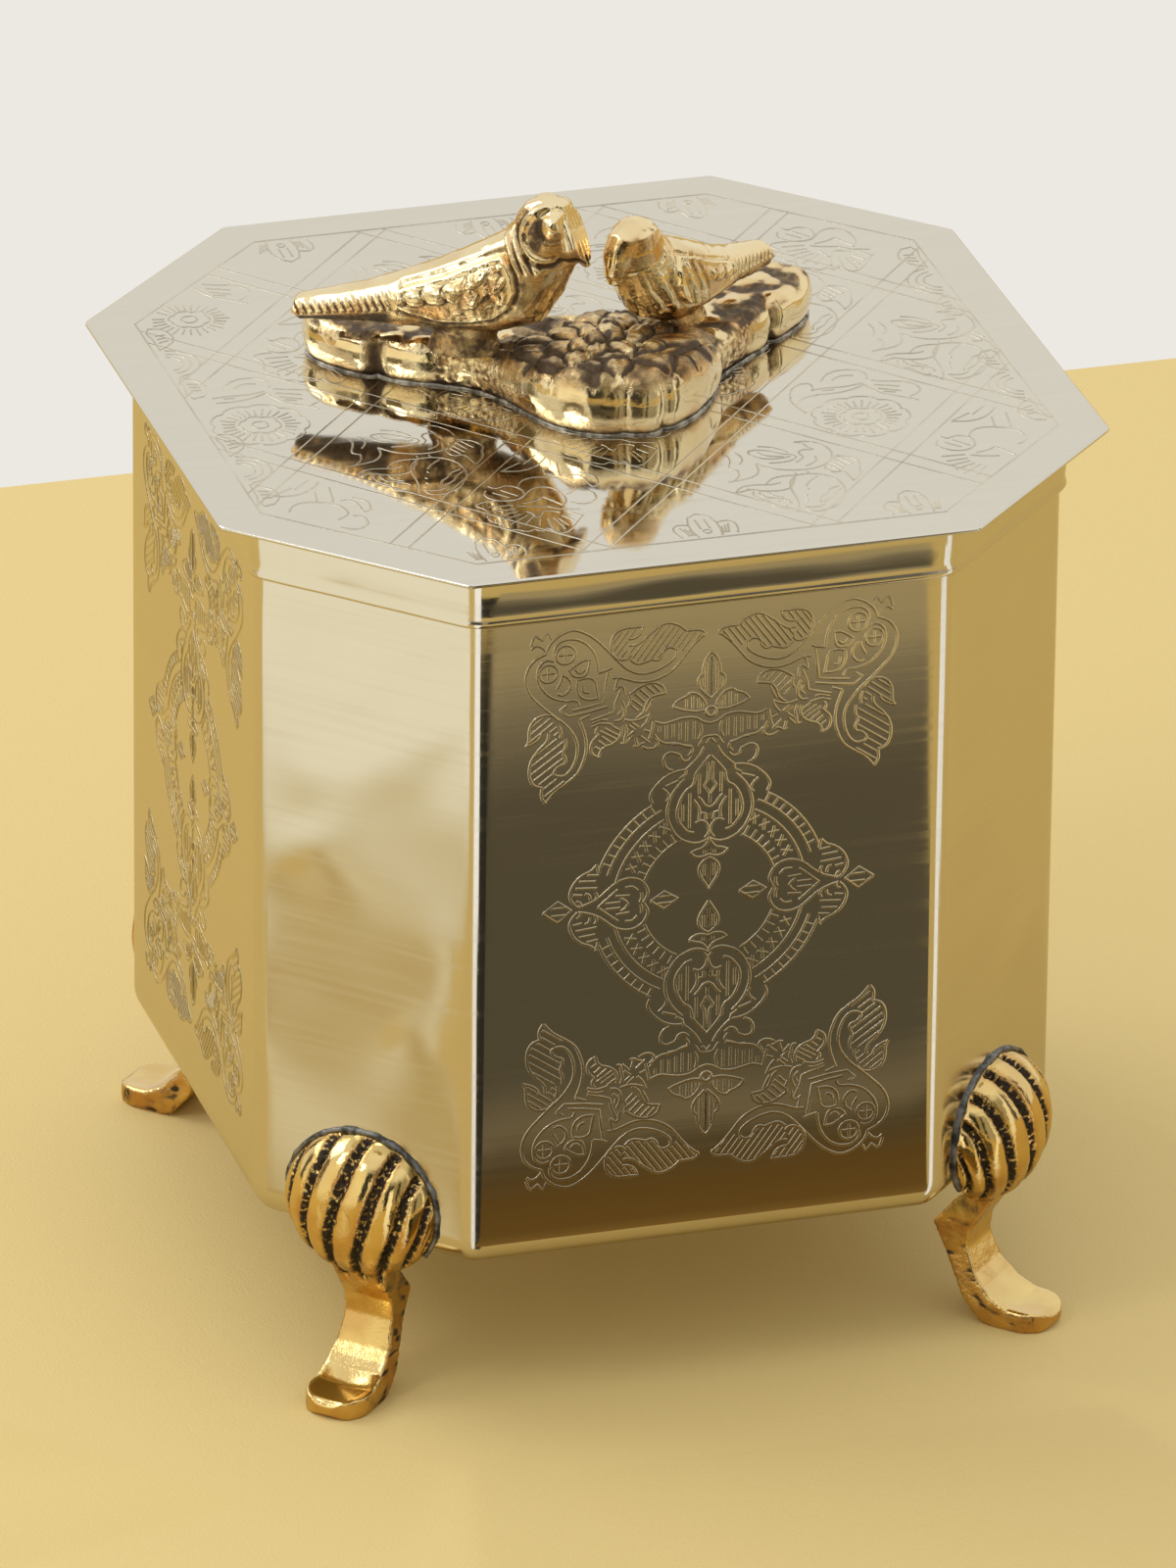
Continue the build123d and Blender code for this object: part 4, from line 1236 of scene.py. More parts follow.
def knee_ribs(p, n, wide, tall, dome, seed, lean):
    """Ribs and punched grooves: how a point of the knee moves, its depth and its shine."""
    reach = 1.0 - 0.4 * max(0.0, -tall) ** 1.5
    turn = math.degrees(math.asin(max(-1.0, min(1.0, wide / reach))))
    slant = turn - lean * RIB_LEAN * tall
    phase = slant / RIB_SPREAD + RIB_START + 0.03 * grain(p, 6.0, seed)
    near = abs(phase - round(phase)) * 2 + 0.07 * grain(p, 0.8, seed + 4)
    crest = math.sqrt(max(0.0, 1 - (1 - min(1.0, near * 1.04)) ** 2))
    cut = ease(near, 0.44, 0.22)
    punch = cut * (0.2 + 0.9 * abs(grain(p, 0.95, seed)))
    sink = dome * (RIB_DEPTH * (1 - crest) + punch)
    glint = ease(grain(p, 0.8, seed + 8), 0.12, 0.26)
    # darker down each rib's flanks, where patina gathers, and darker towards the knee's lower edge:
    # painted shade for the dark that the lower knee mirrors. The buffed shine fades downwards for
    # the same painted shade.
    patina_and_shade = 0.18 + 0.3 * ease(tall, 0.15, -0.8) + 0.55 * ease(crest, 0.85, 0.55)
    buffed = (1 - cut) * ease(crest, 0.75, 0.98) * (0.35 + 0.65 * ease(tall, -0.75, 0.25))
    move = n * (-sink + 0.1 * (1 - cut) * grain(p, 4.0, seed))
    return move, max(cut * (1.15 - 1.05 * glint), patina_and_shade) * dome, buffed + 0.9 * cut * glint


# %% Carve the feet
def foot_rule(seed, lean):
    def rule(p, n):
        out, along, up = p.x - CORNER_FACE, p.y, p.z
        tall = (up - KNEE_MIDDLE) / KNEE_HEIGHT
        wide = along / KNEE_WIDTH
        shell = wide**2 + tall**2 + (out / KNEE_BULGE) ** 2
        dome = ease(out, 0.3, 1.3) * ease(shell, 0.72, 0.86) * ease(shell, 1.9, 1.5)
        dome *= ease(up, KNEE_END + 0.5, KNEE_END + 4.0)
        scratch = grain(Vector((p.x * 0.25, p.y * 3.0, p.z * 0.6)), 0.8, seed)
        move = n * (0.05 * grain(p, 1.6, seed))
        depth = 0.25 + 0.35 * grain(p, 2.5, seed + 3)
        shine = 0.55
        if dome > 0:
            move, depth, shine = knee_ribs(p, n, wide, tall, dome, seed, lean)
        elif up > KNEE_END:
            depth += 0.35
        elif out > 2.0 and n.z > 0.5:
            dish = max(0.0, 1 - (along / TOE_HALF_WIDTH) ** 2)
            move = n * (-0.5 * dish * ease(out, 3.0, 7.0))
            depth, shine = 0.1, 0.95
        else:
            side = ease(abs(n.y), 0.5, 0.9)
            move += n * (-0.22 * side * max(0.0, scratch))
            depth += side * 0.5 * ease(scratch, 0.1, 0.6)
            shine = 0.6 - 0.4 * side
        move.z = max(move.z, 0.02 - up)  # the toe stays above the floor
        return move, depth, shine
    return rule


# each foot's compass bearing, and the side its ribs lean to
FEET = {
    "front_left": (225, 1), "front_right": (315, -1), "back_right": (45, 1), "back_left": (135, -1),
}
for number, (corner, (bearing, lean)) in enumerate(FEET.items()):
    foot = even_skin(f"carved_foot_{corner}", merged_copy(f"foot_{corner}"), 0.4, 6)
    place = Matrix.Rotation(math.radians(bearing), 4, "Z")
    carve(foot, foot_rule(number * 5.3, lean), place, foot_brass)
    stand_in(foot, f"foot_{corner}", "box")

# %% [markdown]
# ## The plinth
#
# The birds perch on a plinth with two arms and a front lobe, cast with a wavy edge. Its
# round ends are buffed like mirrors, the hollow stretches keep the punch marks, and a heap
# of petals lies between the birds, dark with age. The plan is a closed curve through a few
# points. Above it the height follows a rule: at each place the highest petal shows, and the
# rim rises and falls with the petals that lap over it.

# %% Plan of the plinth
PLINTH_FOOT, PLINTH_RISE = 183.0, 9.5
PLINTH_TOP = PLINTH_FOOT + PLINTH_RISE
PLINTH_PLAN = (
    (-51.0, 26.0), (-51.2, 22.6), (-50.0, 19.0), (-48.0, 15.9), (-45.2, 12.7), (-42.6, 10.6),
    (-41.0, 10.6), (-39.8, 8.9), (-37.6, 6.7), (-35.2, 5.2), (-32.4, 3.6), (-28.6, 1.3),
    (-25.2, -1.2), (-22.4, -4.6), (-20.4, -8.4), (-18.8, -12.4), (-17.0, -17.2), (-14.8, -21.8),
    (-11.8, -25.6), (-8.0, -28.2), (-4.6, -29.5), (-2.7, -29.2), (-0.8, -30.1), (1.6, -30.7),
    (3.8, -30.2), (5.1, -28.7), (6.9, -28.9), (9.9, -27.2), (12.8, -24.8), (15.4, -21.9),
    (17.6, -18.9), (19.7, -15.4), (21.2, -12.2), (22.0, -9.6), (24.0, -7.0), (28.0, -3.2),
    (31.6, 0.0), (34.4, 2.2), (36.4, 4.4), (37.2, 6.4), (39.6, 6.8), (43.2, 10.0),
    (46.4, 13.4), (48.7, 17.0), (49.2, 20.6), (46.9, 23.7), (43.0, 25.0), (38.0, 24.0),
    (30.0, 18.5), (20.0, 13.8), (10.0, 10.0), (0.0, 8.4), (-10.0, 11.4), (-20.0, 16.2),
    (-30.0, 21.8), (-37.0, 26.8), (-41.6, 30.0), (-45.8, 30.6), (-49.4, 29.2),
)


def smooth_ring(points, steps):
    """A closed smooth curve through the points, with its outward direction at each place."""
    count = len(points)
    ring = []
    for i in range(count):
        a, b, c, d = (Vector(points[(i + j) % count]) for j in (-1, 0, 1, 2))
        for k in range(steps):
            t = k / steps
            ring.append(b + (c - a) * 0.5 * t + (a - b * 2.5 + c * 2 - d * 0.5) * t * t
                        + (b * 1.5 - a * 0.5 - c * 1.5 + d * 0.5) * t * t * t)
    ways = []
    for i in range(len(ring)):
        along = ring[(i + 1) % len(ring)] - ring[i - 1]
        ways.append(Vector((along.y, -along.x)).normalized())
    return ring, ways


PLAN, PLAN_OUT = smooth_ring(PLINTH_PLAN, 5)
print(len(PLAN), "points round the plinth")


# %% The plinth's form
# how far the wall bulges at each height
BULGE = ((0, 0), (0.8, 1.4), (1.4, 3.4), (1.5, 5.2), (1.0, 7.2), (0, 8.6), (-1.5, PLINTH_RISE))


def plinth_form():
    """The plan raised with bulging walls."""
    work = bmesh.new()
    rings = []
    for grow, up in BULGE:
        height = (PLINTH_FOOT + up) * MM
        edge = [(p + o * grow) * MM for p, o in zip(PLAN, PLAN_OUT)]
        rings.append([work.verts.new((*place, height)) for place in edge])
    skin(work, rings)
    bmesh.ops.triangulate(work, faces=[f for f in work.faces if len(f.verts) > 4])
    bmesh.ops.recalc_face_normals(work, faces=work.faces)
    return finished_mesh("plinth_form", work)


# %% Petals of the heap
HEAP = Vector((-1.0, -11.0))


def lay_petals():
    """Rings of petals round the heap: middle, direction, length, width, height."""
    chance = random.Random(11)
    petals = []
    for reach, count, length, width, height in (
        (17.6, 15, 5.6, 4.4, -0.6), (13.0, 12, 5.4, 4.0, 0.1), (8.8, 9, 4.8, 3.4, 0.8),
        (5.0, 6, 4.0, 2.8, 1.4), (1.2, 2, 3.2, 2.4, 2.0),
    ):
        for i in range(count):
            a = math.tau * (i + 0.5 * (count % 2)) / count + chance.uniform(-0.14, 0.14)
            way = Vector((math.cos(a), math.sin(a)))
            middle = HEAP + Vector((way.x * reach, way.y * reach * 0.94))
            swing = Matrix.Rotation(chance.uniform(-0.55, 0.55), 2)
            size = chance.uniform(0.84, 1.18)
            top = height + chance.uniform(-0.3, 0.3)
            petals.append((middle, swing @ way, length * size, width * size, top))
    return petals


PETALS = lay_petals()


def petal_height(x, y):
    """Height of the topmost petal, how near a crease is, and the place across the petal."""
    best, second, across = -9.0, -9.0, 0.0
    here = Vector((x, y))
    for middle, way, length, width, height in PETALS:
        away = here - middle
        u = away.dot(way) / length
        v = (away.x * way.y - away.y * way.x) / width
        span = u * u + v * v
        if span < 1.0:
            dome = height + 2.5 * math.sqrt(1 - span) ** 0.8 + 0.35 * u - 0.25 * u * u
            if dome > best:
                best, second, across = dome, best, v
            elif dome > second:
                second = dome
    return best, best - second, across


# %% The plinth's wall and top
NOTCHES = [Vector(place) for place in ((-42.0, 9.9), (36.9, 5.9))]


def punch_marks(p):
    """Where the punch was used: on a stretch of each arm, and in patches elsewhere."""
    left = ease(p.x, -33.5, -31.5) * ease(p.x, -18.0, -23.0)
    right_arm = ease(p.x, 22.0, 23.5) * ease(p.x, 33.0, 31.0)
    where = ease(grain((p.x, p.y, 0), 14.0, 3.0), -0.1, 0.2)
    return max(left + right_arm, ease(grain(p, 5.0, 9.0), 0.22, 0.42) * where)


def plinth_top(p, low, rough):
    """Petals of the heap, and lumps elsewhere: rise, depth and shine of the top."""
    top, crease, across = petal_height(p.x, p.y) if low > 1 else (-9.0, 0.0, 0.0)
    if top > -1.2:
        folded = ease(crease, 0.5, 0.0)
        rise = max(-0.6, top - 1.3) - 0.5 * folded + 0.16 * (rough - 0.5)
        rise += 0.16 * math.sin(across * 10.0) * (1 - folded)
        shade = 0.34 + 0.2 * rough + 0.5 * ease(crease, 1.5, 0.0)
        return rise, shade, 0.3 * ease(top, 1.6, 3.4) * (1 - folded)
    lump = 0.8 * grain(p, 3.6, 4.0) + 0.2 * (rough - 0.5)
    high = ease(lump, -0.1, 0.22)
    return lump - 0.3, 0.5 + 0.25 * rough - 0.6 * high, 0.8 * high


# %% Carve the plinth
def plinth_rule(p, n):
    x, y, low = p.x, p.y, p.z - PLINTH_FOOT
    rough = 0.5 + 0.5 * grain(p, 0.9, 2.0)
    punched = punch_marks(p)
    on_top = ease(low, 6.4, 8.8) * ease(n.z, 0.25, 0.6)
    wall = 1 - on_top
    dent = 0.45 * grain((x, y, p.z * 0.5), 6.5, 6.0) + 0.05 * grain(p, 2.4, 1.0)
    outward = Vector((n.x, n.y, 0))
    move = outward * (dent * ease(low, 0.2, 2.0) - 0.5 * punched * rough) * wall
    # darker and duller along the foot of the wall: painted shadow where the wall meets the lid
    painted_base_shade = ease(low, 2.8, 0.4)
    fold = max(ease((Vector((x, y)) - notch).length, 3.2, 1.0) for notch in NOTCHES)
    move -= outward * (0.45 * fold * wall)
    depth = 0.1 + punched * (0.7 * rough - 0.1) + 0.4 * painted_base_shade + 0.6 * fold
    shine = (1 - punched * ease(rough, 0.3, 0.5)) * (1 - painted_base_shade) * (1 - fold)
    heap = ease((Vector((x, y)) - HEAP).length, 22.5, 17.0)
    rise, shade, gleam = plinth_top(p, low, rough)
    height = PLINTH_RISE + 0.9 * heap + 1.9 * ease(y, -15.0, -25.0) + rise * (0.35 + 0.65 * on_top)
    move += Vector((0, 0, low * (height / PLINTH_RISE - 1)))
    depth += (shade - depth) * on_top
    shine += (gleam - shine) * on_top
    return move, depth, shine


plinth = even_skin("carved_plinth", plinth_form(), 0.36, 3)
carve(plinth, plinth_rule)
stand_in(plinth, "finial_plinth", "lid")
print(len(PETALS), "petals on the plinth")

# %% [markdown]
# ## Solder
#
# Solder was run round each foot and round the plinth, and stayed as an uneven bead. A bead
# follows a path, so a small tree sweeps a ring along a closed curve and pushes the skin in
# and out by noise.

# %% The bead tree
def bead_tree():
    loom = Loom(tree("bead", [
        ("Radius", "NodeSocketFloat", 0.5 * MM),
        ("Lumps", "NodeSocketFloat", 0.7 * MM),
        ("Finish", "NodeSocketMaterial", None),
    ]))
    path = loom.add("GeometryNodeResampleCurve", {"mode": "LENGTH"}, {
        "Curve": loom.given("Geometry"), "Length": 0.35 * MM,
    })
    sides = {"Resolution": 10, "Radius": loom.given("Radius")}
    ring = loom.add("GeometryNodeCurvePrimitiveCircle", None, sides)
    swept = loom.add("GeometryNodeCurveToMesh", None, {
        "Curve": path, "Profile Curve": ring, "Fill Caps": True,
    })
    place = loom.add("GeometryNodeInputPosition")
    lump = loom.add("ShaderNodeTexNoise", None, {"Vector": place, "Scale": 420.0, "Detail": 2.0})
    normal = loom.add("GeometryNodeInputNormal")
    push = loom.add("ShaderNodeVectorMath", {"operation": "SCALE"}, {
        0: normal, "Scale": (lump - 0.5) * loom.given("Lumps"),
    })
    bead = loom.add("GeometryNodeSetPosition", None, {"Geometry": swept, "Offset": push})
    return loom.give(loom.add("GeometryNodeSetShadeSmooth", None, {"Geometry": bead}))


def path_curve(name, paths):
    """Paths, each (closed, points in millimetres), as one curve object."""
    curve = bpy.data.curves.new(name, "CURVE")
    curve.dimensions = "3D"
    for closed, points in paths:
        spline = curve.splines.new("POLY")
        spline.points.add(len(points) - 1)
        for knot, point in zip(spline.points, points):
            knot.co = (*(Vector(point) * MM), 1)
        spline.use_cyclic_u = closed
    return stood(name, curve)


# %% Run the beads
bead_grower = bead_tree()


def run_bead(node, paths, radius, body, finish):
    """A bead along paths; radius in millimetres."""
    bead = grown(f"{node}_bead", path_curve(node, paths), bead_grower, {
        "Radius": radius * MM, "Lumps": radius * 1.7 * MM, "Finish": finish,
    })
    stand_in(bead, node, body)


def knee_path(bearing):
    """An open loop round a knee, a quarter of a millimetre outside it."""
    wide, tall = KNEE_WIDTH + 0.25, KNEE_HEIGHT + 0.25
    turns = [math.radians(a) for a in run(-33, 213, 82)]
    spin = Matrix.Rotation(math.radians(bearing), 3, "Z")
    return (False, [
        spin @ Vector((CORNER_FACE + 0.15, wide * math.cos(t), KNEE_MIDDLE + tall * math.sin(t)))
        for t in turns
    ])


plinth_path = [(*(p + o * 0.35), PLINTH_FOOT + 0.12) for p, o in zip(PLAN, PLAN_OUT)]
run_bead("finial_solder", [(True, plinth_path)], 0.42, "lid", solder)
knee_paths = [knee_path(bearing) for bearing, _ in FEET.values()]
run_bead("foot_solder", knee_paths, 0.6, "box", knee_solder_and_gap_shade)

# %% [markdown]
# ## The birds
#
# A large and a small bird face each other. They could be sculpted by hand, but a rule can be
# changed and run again: rings along the bird's back make body, neck and head, a second set
# makes the beak, a third the legs, and the voxel remesh melts them into one skin. Wing,
# collar, face and tail are then drawn in the bird's side view and pressed into both flanks.

# %% Forms of a bird
# rings along the back and the beak: x, z, slope in degrees, half width and half height
LARGE_BACK = (
    (-34.4, 4.9, 5, 2.6, 1.8), (-33.6, 5.0, 5, 3.4, 2.5), (-28, 5.9, 6, 4.4, 3.1),
    (-20, 7.4, 9, 5.5, 3.9), (-12, 8.9, 13, 6.9, 5.5), (-4, 10.6, 17, 8.2, 7.3),
    (3, 12.3, 24, 8.8, 9.0), (9.6, 15.0, 34, 8.7, 9.9), (13, 19.4, 48, 7.7, 8.4),
    (15.0, 23.4, 62, 6.7, 7.3), (15.9, 27.0, 72, 6.5, 6.9), (16.2, 30.2, 78, 5.4, 5.5),
    (16.3, 32.4, 82, 2.7, 2.7),
)
SMALL_BACK = (
    (-30.6, 6.9, -2, 3.0, 2.6), (-29.8, 6.9, -2, 3.8, 3.5), (-24, 7.5, 0, 4.7, 4.3),
    (-17, 8.6, 6, 5.7, 4.9), (-10, 9.5, 13, 7.4, 6.7), (-3, 10.6, 20, 9.0, 9.0),
    (3.6, 12.2, 28, 9.8, 10.6), (9.6, 15.4, 38, 9.6, 10.7), (13, 19.4, 50, 8.4, 9.0),
    (15.0, 23.8, 62, 7.0, 7.5), (15.9, 27.2, 72, 6.7, 7.0), (16.2, 30.4, 78, 5.5, 5.6),
    (16.3, 32.6, 82, 2.8, 2.8),
)
LARGE_BEAK = (
    (16.0, 27.6, -15, 5.0, 4.6), (19.0, 26.8, -40, 4.1, 4.2), (21.4, 24.1, -62, 3.1, 3.2),
    (22.8, 21.0, -78, 2.0, 1.8), (23.3, 19.0, -84, 0.8, 0.8),
)
SMALL_BEAK = (
    (16.0, 28.0, -15, 5.8, 5.0), (19.4, 27.6, -40, 4.7, 4.6), (22.2, 24.4, -62, 3.6, 3.8),
    (23.4, 20.6, -78, 2.8, 2.4), (23.6, 18.2, -84, 1.9, 1.2),
)
# height, half length and half width
LEG_RINGS = (
    (-1.2, 7.8, 5.0), (0.6, 7.2, 4.6), (2.6, 6.4, 4.1), (5.0, 7.4, 4.9), (8.5, 9.4, 6.2),
)


RING_TURNS = [math.tau * i / 28 for i in range(28)]


# %% Melting the rings into one form
def side_ring(x, z, slope, half_width, half_height):
    a = math.radians(slope)
    upward = Vector((-math.sin(a), 0, math.cos(a)))
    points = []
    for t in RING_TURNS:
        across = Vector((0, half_width * math.cos(t), 0))
        points.append(Vector((x, 0, z)) + across + upward * half_height * math.sin(t))
    return points


def level_ring(height, length, width):
    return [Vector((length * math.cos(t) - 0.5, width * math.sin(t), height)) for t in RING_TURNS]


def bird_form(back, beak, place):
    work = bmesh.new()
    for one_ring, rows in ((side_ring, back), (side_ring, beak), (level_ring, LEG_RINGS)):
        skin(work, [[work.verts.new(point) for point in one_ring(*row)] for row in rows])
    bmesh.ops.recalc_face_normals(work, faces=work.faces)
    mesh = finished_mesh("bird_form", work)
    mesh.transform(Matrix.Scale(MM, 4))
    mesh.transform(Matrix.Translation(place.translation) @ place.to_3x3().to_4x4())
    return mesh


# %% Marks seen from the side
WING = (
    (7.6, 22.4), (9.8, 19.1), (10.6, 15.5), (9.5, 12.2), (6.7, 9.7), (2.1, 8.2), (-4, 7.5),
    (-10.6, 8.6), (-17.5, 10.0), (-12, 13.2), (-4, 16.6), (3, 20.2),
)
# middle, half length and half width of each long feather
LONG_FEATHERS = (
    (-1.5, 14.0, 2.5, 1.7), (-5.6, 12.9, 2.5, 1.6), (-9.6, 11.7, 2.3, 1.4), (-13.2, 10.8, 2.0, 1.1),
)
FACE = (16.0, 27.0)
EYE = (17.4, 29.0)
MOUTH = (18.0, 22.4)


def inside(outline, x, z):
    """How far a point lies inside an outline, negative outside."""
    nearest, crossings = 1e9, 0
    for (x0, z0), (x1, z1) in zip(outline, outline[1:] + outline[:1]):
        dx, dz = x1 - x0, z1 - z0
        t = max(0.0, min(1.0, ((x - x0) * dx + (z - z0) * dz) / (dx * dx + dz * dz)))
        nearest = min(nearest, math.hypot(x - x0 - t * dx, z - z0 - t * dz))
        if (z0 <= z) != (z1 <= z) and x < x0 + (z - z0) / dz * dx:
            crossings += 1
    return nearest if crossings % 2 else -nearest


def groove(distance, half_width):
    """1 on a line, 0 from half_width away."""
    return ease(abs(distance), half_width, 0.0)


def scales(u, v, pitch):
    """Domes in staggered rows, each row lapped over the next."""
    row = math.floor(v / pitch)
    shifted = u / (pitch * 1.1) + 0.5 * (row % 2)
    across = shifted - math.floor(shifted) - 0.5
    along = v / pitch - row
    return math.sqrt(max(0.0, 1 - 3.4 * across * across)) * (1 - 0.75 * along)


# %% Wing, neck and tail
def feathers(small, p, flank, lump, speck):
    """Wing, shoulder feathers and neck strands: rise, depth and shine on the flank."""
    x, z = p.x, p.z
    wing = inside(WING, x, z)
    edge = groove(wing - 0.6, 0.8)
    outside = groove(wing + 0.5, 0.8)
    body = ease(wing, 0.4, 1.8)
    front = ease(x, -3.0, 0.5)
    rise = 0.6 * edge - 0.55 * outside + 0.2 * body
    depth = 0.5 * outside * (0.4 + speck)
    shine = 0.75 * edge
    if not small:
        shell = scales(x * 0.8 + z * 0.6 + 1.9 * lump, -x * 0.6 + z * 0.8 + 1.5 * lump, 2.9)
        rise += front * body * (1.05 * shell * (0.85 + 0.7 * lump) - 0.35 + 0.4 * (speck - 0.5))
        depth += front * body * 0.55 * ease(shell, 0.45, 0.1)
        shine += front * body * 0.7 * ease(shell, 0.55, 0.85)
    for fx, fz, length, width in LONG_FEATHERS:
        reach = ((x - fx) / length) ** 2 + ((z - fz) / width) ** 2
        rise += 0.85 * math.sqrt(max(0.0, 1 - reach)) * (1 - front)
        depth += 0.6 * groove(reach - 1.2, 0.4) * (1 - front)
        shine += 0.6 * ease(reach, 0.8, 0.3) * (1 - front)
    collar = (x - 5.4) - 0.55 * (27.5 - z)
    if 0 < collar < 6.0 and 18.6 < z < 28.5 and wing < 0.2 and not small:
        strand = abs(math.sin(math.pi * collar / 2.0))
        fade = ease(z, 18.6, 20.2) * ease(z, 28.5, 27.2)
        rise += fade * (1.0 * strand - 0.35)
        depth += fade * 0.6 * ease(strand, 0.55, 0.2)
        shine += fade * 0.8 * ease(strand, 0.6, 0.9)
    strip = groove(wing + 1.9, 1.4) * ease(z, 8, 12) * ease(z, 19, 17)
    rise -= 0.25 * strip * speck
    depth += 0.55 * strip * speck
    return rise * flank, depth * flank, shine * flank


def neck_strands(p, lump):
    """The small bird's bib of strands, which spread from its throat."""
    x, z = p.x, p.z
    if x <= -4 or z >= 23:
        return 0.0, 0.0, 0.0
    side = math.degrees(math.atan2(abs(p.y), x - 2.0))
    strand = abs(math.sin(math.pi * (side - (22.0 - z) * 1.6 + 2.0 * lump) / 17.0))
    bib = ease(side, 14, 24) * ease(side, 112, 98) * ease(z, 7.5, 9.5) * ease(z, 22.0, 20.0)
    shine = bib * 0.8 * ease(strand, 0.7, 0.95)
    return bib * (0.9 * strand - 0.4), bib * 0.3 * ease(strand, 0.5, 0.15), shine


def tail_barbs(small, p, nz, flank, speck):
    """Slanting barbs above the tail's middle line and punch marks under it."""
    x, z = p.x, p.z
    tail = ease(x, -13.0, -16.0)
    middle = 8.4 + (x + 17) * 0.11 if small else 5.9 + (x + 28) * 0.2
    barb = abs(math.sin(math.pi * (x + 0.9 * z) / 1.9))
    upper = ease(z, middle - 0.4, middle + 0.2) * ease(nz, 0.82, 0.55)
    under = ease(middle - z, 0.3, 1.2)
    ridge = upper * (0.6 * barb - 0.3) + 0.45 * groove(z - middle, 0.7)
    depth = flank * upper * 0.85 * ease(barb, 0.6, 0.15) + under * 0.55
    return tail * (flank * ridge - 0.35 * under * speck), tail * depth, 0.0


# %% Face, eye and mouth
def face_marks(small, p, speck):
    """A raised rim and a crease behind the cheek."""
    face = math.hypot(p.x - FACE[0], p.z - FACE[1])
    bearing = math.degrees(math.atan2(p.z - FACE[1], p.x - FACE[0])) % 360
    if face >= 7.4 or not 80 < bearing < 300:
        return 0.0, 0.0, 0.0
    fade = ease(abs(p.y), 1.2, 3.0)
    rim = groove(face - 4.9, 0.9) * fade
    crease = groove(face - 6.2, 0.9) * fade
    sharp = 0.35 if small else 1.0
    inner = ease(face, 4.2, 3.6) * ease(bearing, 110, 140) * ease(bearing, 260, 235)
    rise = sharp * (0.65 * rim - 0.75 * crease) - 0.3 * inner * speck
    depth = sharp * (0.7 * crease - 0.2 * rim) + sharp * 0.5 * inner * (0.3 + speck)
    return rise, depth, 0.8 * rim


def eye_marks(p):
    """A bead in a ring."""
    eye = math.hypot(p.x - EYE[0], p.z - EYE[1])
    if abs(p.y) <= 2.3 or eye >= 4.0:
        return 0.0, 0.0, 0.0
    rise = 1.2 * ease(eye, 2.4, 0.6) - 0.5 * groove(eye - 3.0, 0.9)
    return rise, 0.4 * groove(eye - 2.9, 0.7), 0.9 * ease(eye, 2.2, 1.0)


def mouth_line(p):
    if p.x <= 17.8 or p.z >= 24.5:
        return 0.0, 0.0, 0.0
    mouth = (p.z - MOUTH[1]) + 0.42 * (p.x - MOUTH[0])
    return -0.6 * groove(mouth, 0.65), 0.85 * groove(mouth, 0.7), 0.0


# %% How a bird is carved
def filed_facets(small):
    """Flats that a file left on the head: direction, distance and where each begins."""
    if small:
        flats = (((0.96, 0.10, 0.26), 30.75, 17.0),)
    else:
        flats = (((0.90, -0.26, 0.35), 28.3, 17.0), ((0.72, -0.60, 0.35), 25.5, 19.0))
    return [(Vector(way).normalized(), reach, start) for way, reach, start in flats]


def bird_rule(small, seed):
    facets = filed_facets(small)

    def rule(p, n):
        x, z = p.x, p.z
        flank = ease(abs(n.y), 0.2, 0.5)
        speck = 0.5 + 0.5 * grain(p, 0.8, seed)
        lump = grain(p, 2.6, seed + 2)
        top = ease(n.z, 0.35, 0.8)
        belly = ease(9.0 - z, 0.0, 3.5) * ease(x, -13, -9)
        rise = 0.10 * lump + 0.10 * (speck - 0.5) * (1 - top)
        depth = (0.04 if small else 0.16) + 0.22 * lump
        shine = max(top, 0.35) if small else top
        marks = [mouth_line(p), (-belly * 0.35 * speck, belly * 0.45 * (0.2 + speck), 0.0)]
        if flank > 0:
            marks.append(face_marks(small, p, speck))
            if x >= -13.0 and math.hypot(x - FACE[0], z - FACE[1]) > 5.8:
                marks.append(feathers(small, p, flank, lump, speck))
        if x < -13.0:
            marks.append(tail_barbs(small, p, n.z, flank, speck))
        marks.append(neck_strands(p, lump) if small else eye_marks(p))
        for more_rise, more_depth, more_shine in marks:
            rise, depth, shine = rise + more_rise, depth + more_depth, shine + more_shine
        if x > 9 and z < 20 and n.x > 0.4:
            shine = 0.7
            depth -= 0.15
        move = n * rise
        for facet, reach, start in facets:
            beyond = (p + move).dot(facet) - reach
            if beyond > 0 and z > 17.5 and x > start:
                ridges = 0.03 * math.sin(p.y * 5.0) + 0.02 * math.sin(p.y * 9.7)
                move = move - facet * (beyond + ridges) * ease(x, start, start + 0.8)
                depth, shine = 0.0, 1.0
        return move, depth, shine
    return rule


# %% Cast and carve both birds
# place on the plinth, compass turn, dip of the head in degrees, size, back and beak
BIRDS = {
    "bird_left": ((-26.0, -0.3), -26.0, 1.0, 1.0, LARGE_BACK, LARGE_BEAK),
    "bird_right": ((18.0, 0.8), 211.0, 3.4, 0.8, SMALL_BACK, SMALL_BEAK),
}
for number, (name, ((x, y), turn, dip, size, back, beak)) in enumerate(BIRDS.items()):
    place = (
        Matrix.Translation((x * MM, y * MM, PLINTH_TOP * MM))
        @ Matrix.Rotation(math.radians(turn), 4, "Z")
        @ Matrix.Rotation(math.radians(dip), 4, "Y")
        @ Matrix.Scale(size, 4)
    )
    cast = even_skin(f"carved_{name}", bird_form(back, beak, place), 0.34 * size, 5)
    carve(cast, bird_rule(size < 1, number * 4.1), place)
    stand_in(cast, name, "lid")

